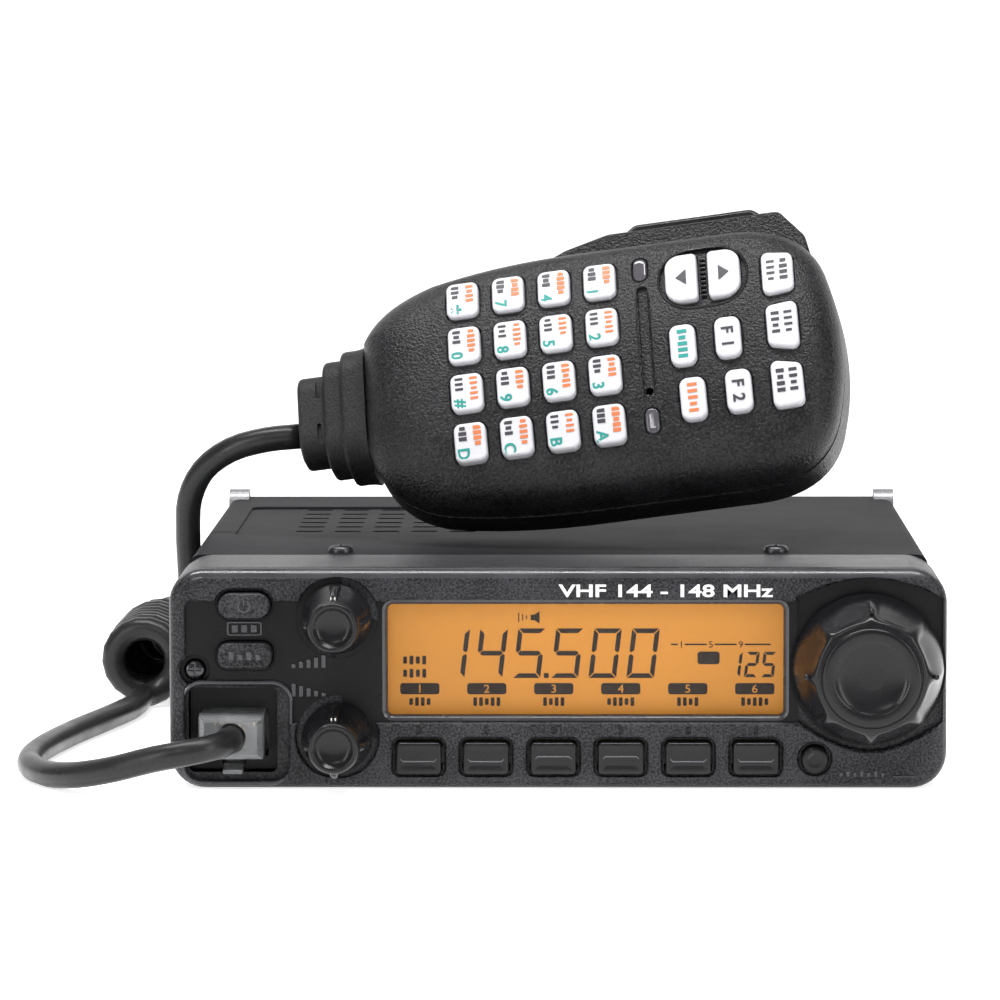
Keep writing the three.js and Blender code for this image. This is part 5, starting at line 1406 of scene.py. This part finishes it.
for index, (name, (low, high)) in enumerate(mic_key_boxes.items()):
    centre = (low + high) / 2
    key_face = MIC_FACE_Y - 1.1
    key = loft(name + "_cap", stack(mic_key_outline(name), dished(high.y, key_face, KEY_EDGE, KEY_DISH)), "key_white")
    settle(crowned(key), name, [name], matrix=mic_metres)
    print_y = key_face + 0.03
    if name.startswith("keypad"):
        mark = name.split("_")[-1]
        add_print(name, "print_orange", word_strokes(centre.x + 1.45, centre.z + 2.7, 4 + index % 2, print_y, index))
        add_print(name, "print_dark", word_strokes(centre.x - 1.35, centre.z + 2.7, 3, print_y, index + 3))
        size = STAR_FONT if mark == "star" else LEGEND_FONT
        text = LEGENDS.get(mark, mark.upper())
        add_print(name, "print_teal", [legend_text(text, centre.x - 1.35, centre.z - 2.25, print_y, size)])
    elif name in ("up_key", "down_key"):
        way = 1 if name == "up_key" else -1
        corners = [(centre.x - way * 1.0, centre.z - 1.7 * way), (centre.x + way * 1.0, centre.z),
                   (centre.x - way * 1.0, centre.z + 1.7 * way)]
        add_print(name, "print_dark", [bar(corners, print_y - 0.05, 0.1, 0.05)])
    elif name.startswith("small"):
        kind = {"1": "print_teal", "3": "print_orange"}.get(name[-1], "print_dark")
        if kind == "print_dark":
            add_print(name, kind, [legend_text("F", centre.x, centre.z + 1.3, print_y),
                                   legend_text("1" if name[-1] == "2" else "2", centre.x, centre.z - 1.5, print_y)])
        else:
            add_print(name, kind, word_strokes(centre.x, centre.z + 2.6, 5, print_y, index, 1.8, 1.25))
    else:
        add_print(name, "print_dark", word_strokes(centre.x + 1.2, centre.z + 2.3, 4, print_y, index, 1.5, 1.25)
                  + word_strokes(centre.x - 1.2, centre.z + 2.3, 4, print_y, index + 1, 1.5, 1.25))
print("handset keys:", len(mic_key_boxes))

# %% [markdown]
# ## The handset's back, lever and boot
# The back shell carries a housing for the push-to-talk lever along its upper edge, a stud that hangs the
# handset on its hook, and four screws. The lever is a ribbed bar in the housing's slot. The
# boot keeps the cord from kinking at its exit: three steps, each thinner than the last, with slots on
# both sides, as on a real boot that flexes.

# %% Handset back
back_shell = loft("handset_back", shell_rings("back"))
combine(back_shell, [loft("hollow", shell_rings("back", MIC_WALL, beyond=5))])
HOUSING_LEFT, HOUSING_TOP, HOUSING_REAR_Y = -13.6, 30.8, 7.2
LEVER = (5.4, 32.0, 26.6, 32.8)
LEVER_Y = (-4.4, 4.6)
housing_corners = [(HOUSING_LEFT, 23.0), (41.0, 19.0), (39.8, 25.0), (35.2, HOUSING_TOP), (2.4, HOUSING_TOP),
                   (-6.0, 28.6), (HOUSING_LEFT - 1, 24.6)]
housing_outline = polygon_outline(housing_corners, [0.3, 0.3, 3.0, 1.8, 3.0, 6.0, 0.4], 6)
housing_profile = [(-0.35, BACK_START_Y), (0, BACK_START_Y + 0.35), *soft_edge(0, HOUSING_REAR_Y, 2.2, 6)[1:]]
housing = loft("housing", stack(housing_outline, housing_profile))
combine(back_shell, [housing], "UNION")
lever_slot = rectangle(LEVER[0] - 0.3, LEVER[1] + 0.3, 19, 40, 0.6, 3)
combine(back_shell, [prism(lever_slot, LEVER_Y[0] - 0.3, LEVER_Y[1] + 0.3)])
STUD_X, STUD_NECK, STUD_TOP_Y = 12.0, 4.0, MIC_DEEP + 4.5
stud = loft("stud", stack(disc(STUD_X, 0, STUD_NECK, 48), [
    (0.9, MIC_DEEP - 0.4), (0.35, MIC_DEEP + 0.2), (0, MIC_DEEP + 0.9), (0, STUD_TOP_Y - 2.2), (0.4, STUD_TOP_Y - 1.75),
    (1.7, STUD_TOP_Y - 1.4), (2.0, STUD_TOP_Y - 1.05), (2.0, STUD_TOP_Y - 0.45), (1.8, STUD_TOP_Y - 0.12),
    (1.4, STUD_TOP_Y)]))
combine(back_shell, [stud], "UNION")
MIC_SCREWS = [(-27, -8.5), (-27, 8.5), (30, -8.5), (30, 8.5)]
combine(back_shell, [cutter(disc(x, z, 3.1, 32), MIC_DEEP - 1.5, MIC_DEEP, 0.3) for x, z in MIC_SCREWS])
settle(coat(back_shell, "handset_plastic"), "mic", ["mic_back_shell"], angle=30, matrix=mic_metres)
for i, (x, z) in enumerate(MIC_SCREWS):
    seat = mic_mm @ Matrix.Translation((x, MIC_DEEP - 1.45, z)) @ Matrix.Rotation(math.pi, 4, "Z")
    screw(f"handset_screw_{i + 1}", seat, 2.5, "mic")
print("handset back:", len(back_shell.data.polygons), "faces")

# %% Lever and boot
x0, x1, z0, z1 = LEVER
lever_corners = [(x0, z0), (x1, z0), (x1, z1 - 1.6), (x1 - 2.0, z1), (x0 + 2.0, z1), (x0, z1 - 1.6)]
lever_outline = polygon_outline(lever_corners, [0.3, 0.3, 0.8, 2.4, 2.4, 0.8], 5)
lever_half = [(grow, -y) for grow, y in soft_edge(0, -LEVER_Y[0], 0.9)][::-1]
lever = loft("ptt_lever_bar", stack(lever_outline, lever_half + soft_edge(0, LEVER_Y[1], 0.9)[1:]), "knob_plastic")
ribs = [prism(rectangle(x - 0.35, x + 0.35, z1 - 0.25, z1 + 2, 0.1, 1), -6, 6)
        for x in [x0 + 8.3 + 2.0 * i for i in range(6)]]
combine(lever, ribs)
settle(lever, "ptt_lever", ["ptt_lever"], matrix=mic_metres)

BOOT_STEPS = [(4.8, 25.4, 17.0), (3.7, 22.5, 14.0), (5.2, 17.5, 11.5)]
BOOT_ROUND = 0.9
BOOT_FLARE, BOOT_FLARE_LENGTH = 0.4, 2.4
rings = []
x = -MIC_END - 0.3
for step, (length, across, depth) in enumerate(BOOT_STEPS):
    shape = rectangle(-depth / 2, depth / 2, NECK_Z - across / 2, NECK_Z + across / 2, depth * 0.40, 8)
    if step:
        rings += [(shape, 0.6, x + 0.02), (shape, 0.15, x - 0.12), (shape, 0.0, x - 0.5)]
    else:
        rings += [(shape, BOOT_FLARE * (1 - k / 5) ** 2, x - BOOT_FLARE_LENGTH * k / 5) for k in range(6)]
    for k in range(6):
        turn = math.pi / 2 * k / 5
        rings.append((shape, -BOOT_ROUND * (1 - math.cos(turn)), x - length + BOOT_ROUND * (1 - math.sin(turn))))
    x -= length
boot = loft("boot", [[Vector((place, u, v)) for u, v in shape(grow)] for shape, grow, place in rings])
notches = []
BOOT_SLOT_X, BOOT_SLOT_HALF, BOOT_SLOT_RISE, BOOT_SLOT_Y = (-55.6, -54.7), 2.0, 4.6, 6.2
for side in (-1, 1):
    for level in (-1, 1):
        z, y = NECK_Z + level * BOOT_SLOT_RISE, side * BOOT_SLOT_Y
        slot = rectangle(*BOOT_SLOT_X, z - BOOT_SLOT_HALF, z + BOOT_SLOT_HALF, 0.4, 3)
        notches.append(prism(slot, y - 1.1, y + 1.1))
combine(boot, [merged("notches", notches)])
settle(coat(boot, "soft_rubber"), "mic", ["mic_boot"], angle=40, matrix=mic_metres)
print("lever and boot done")
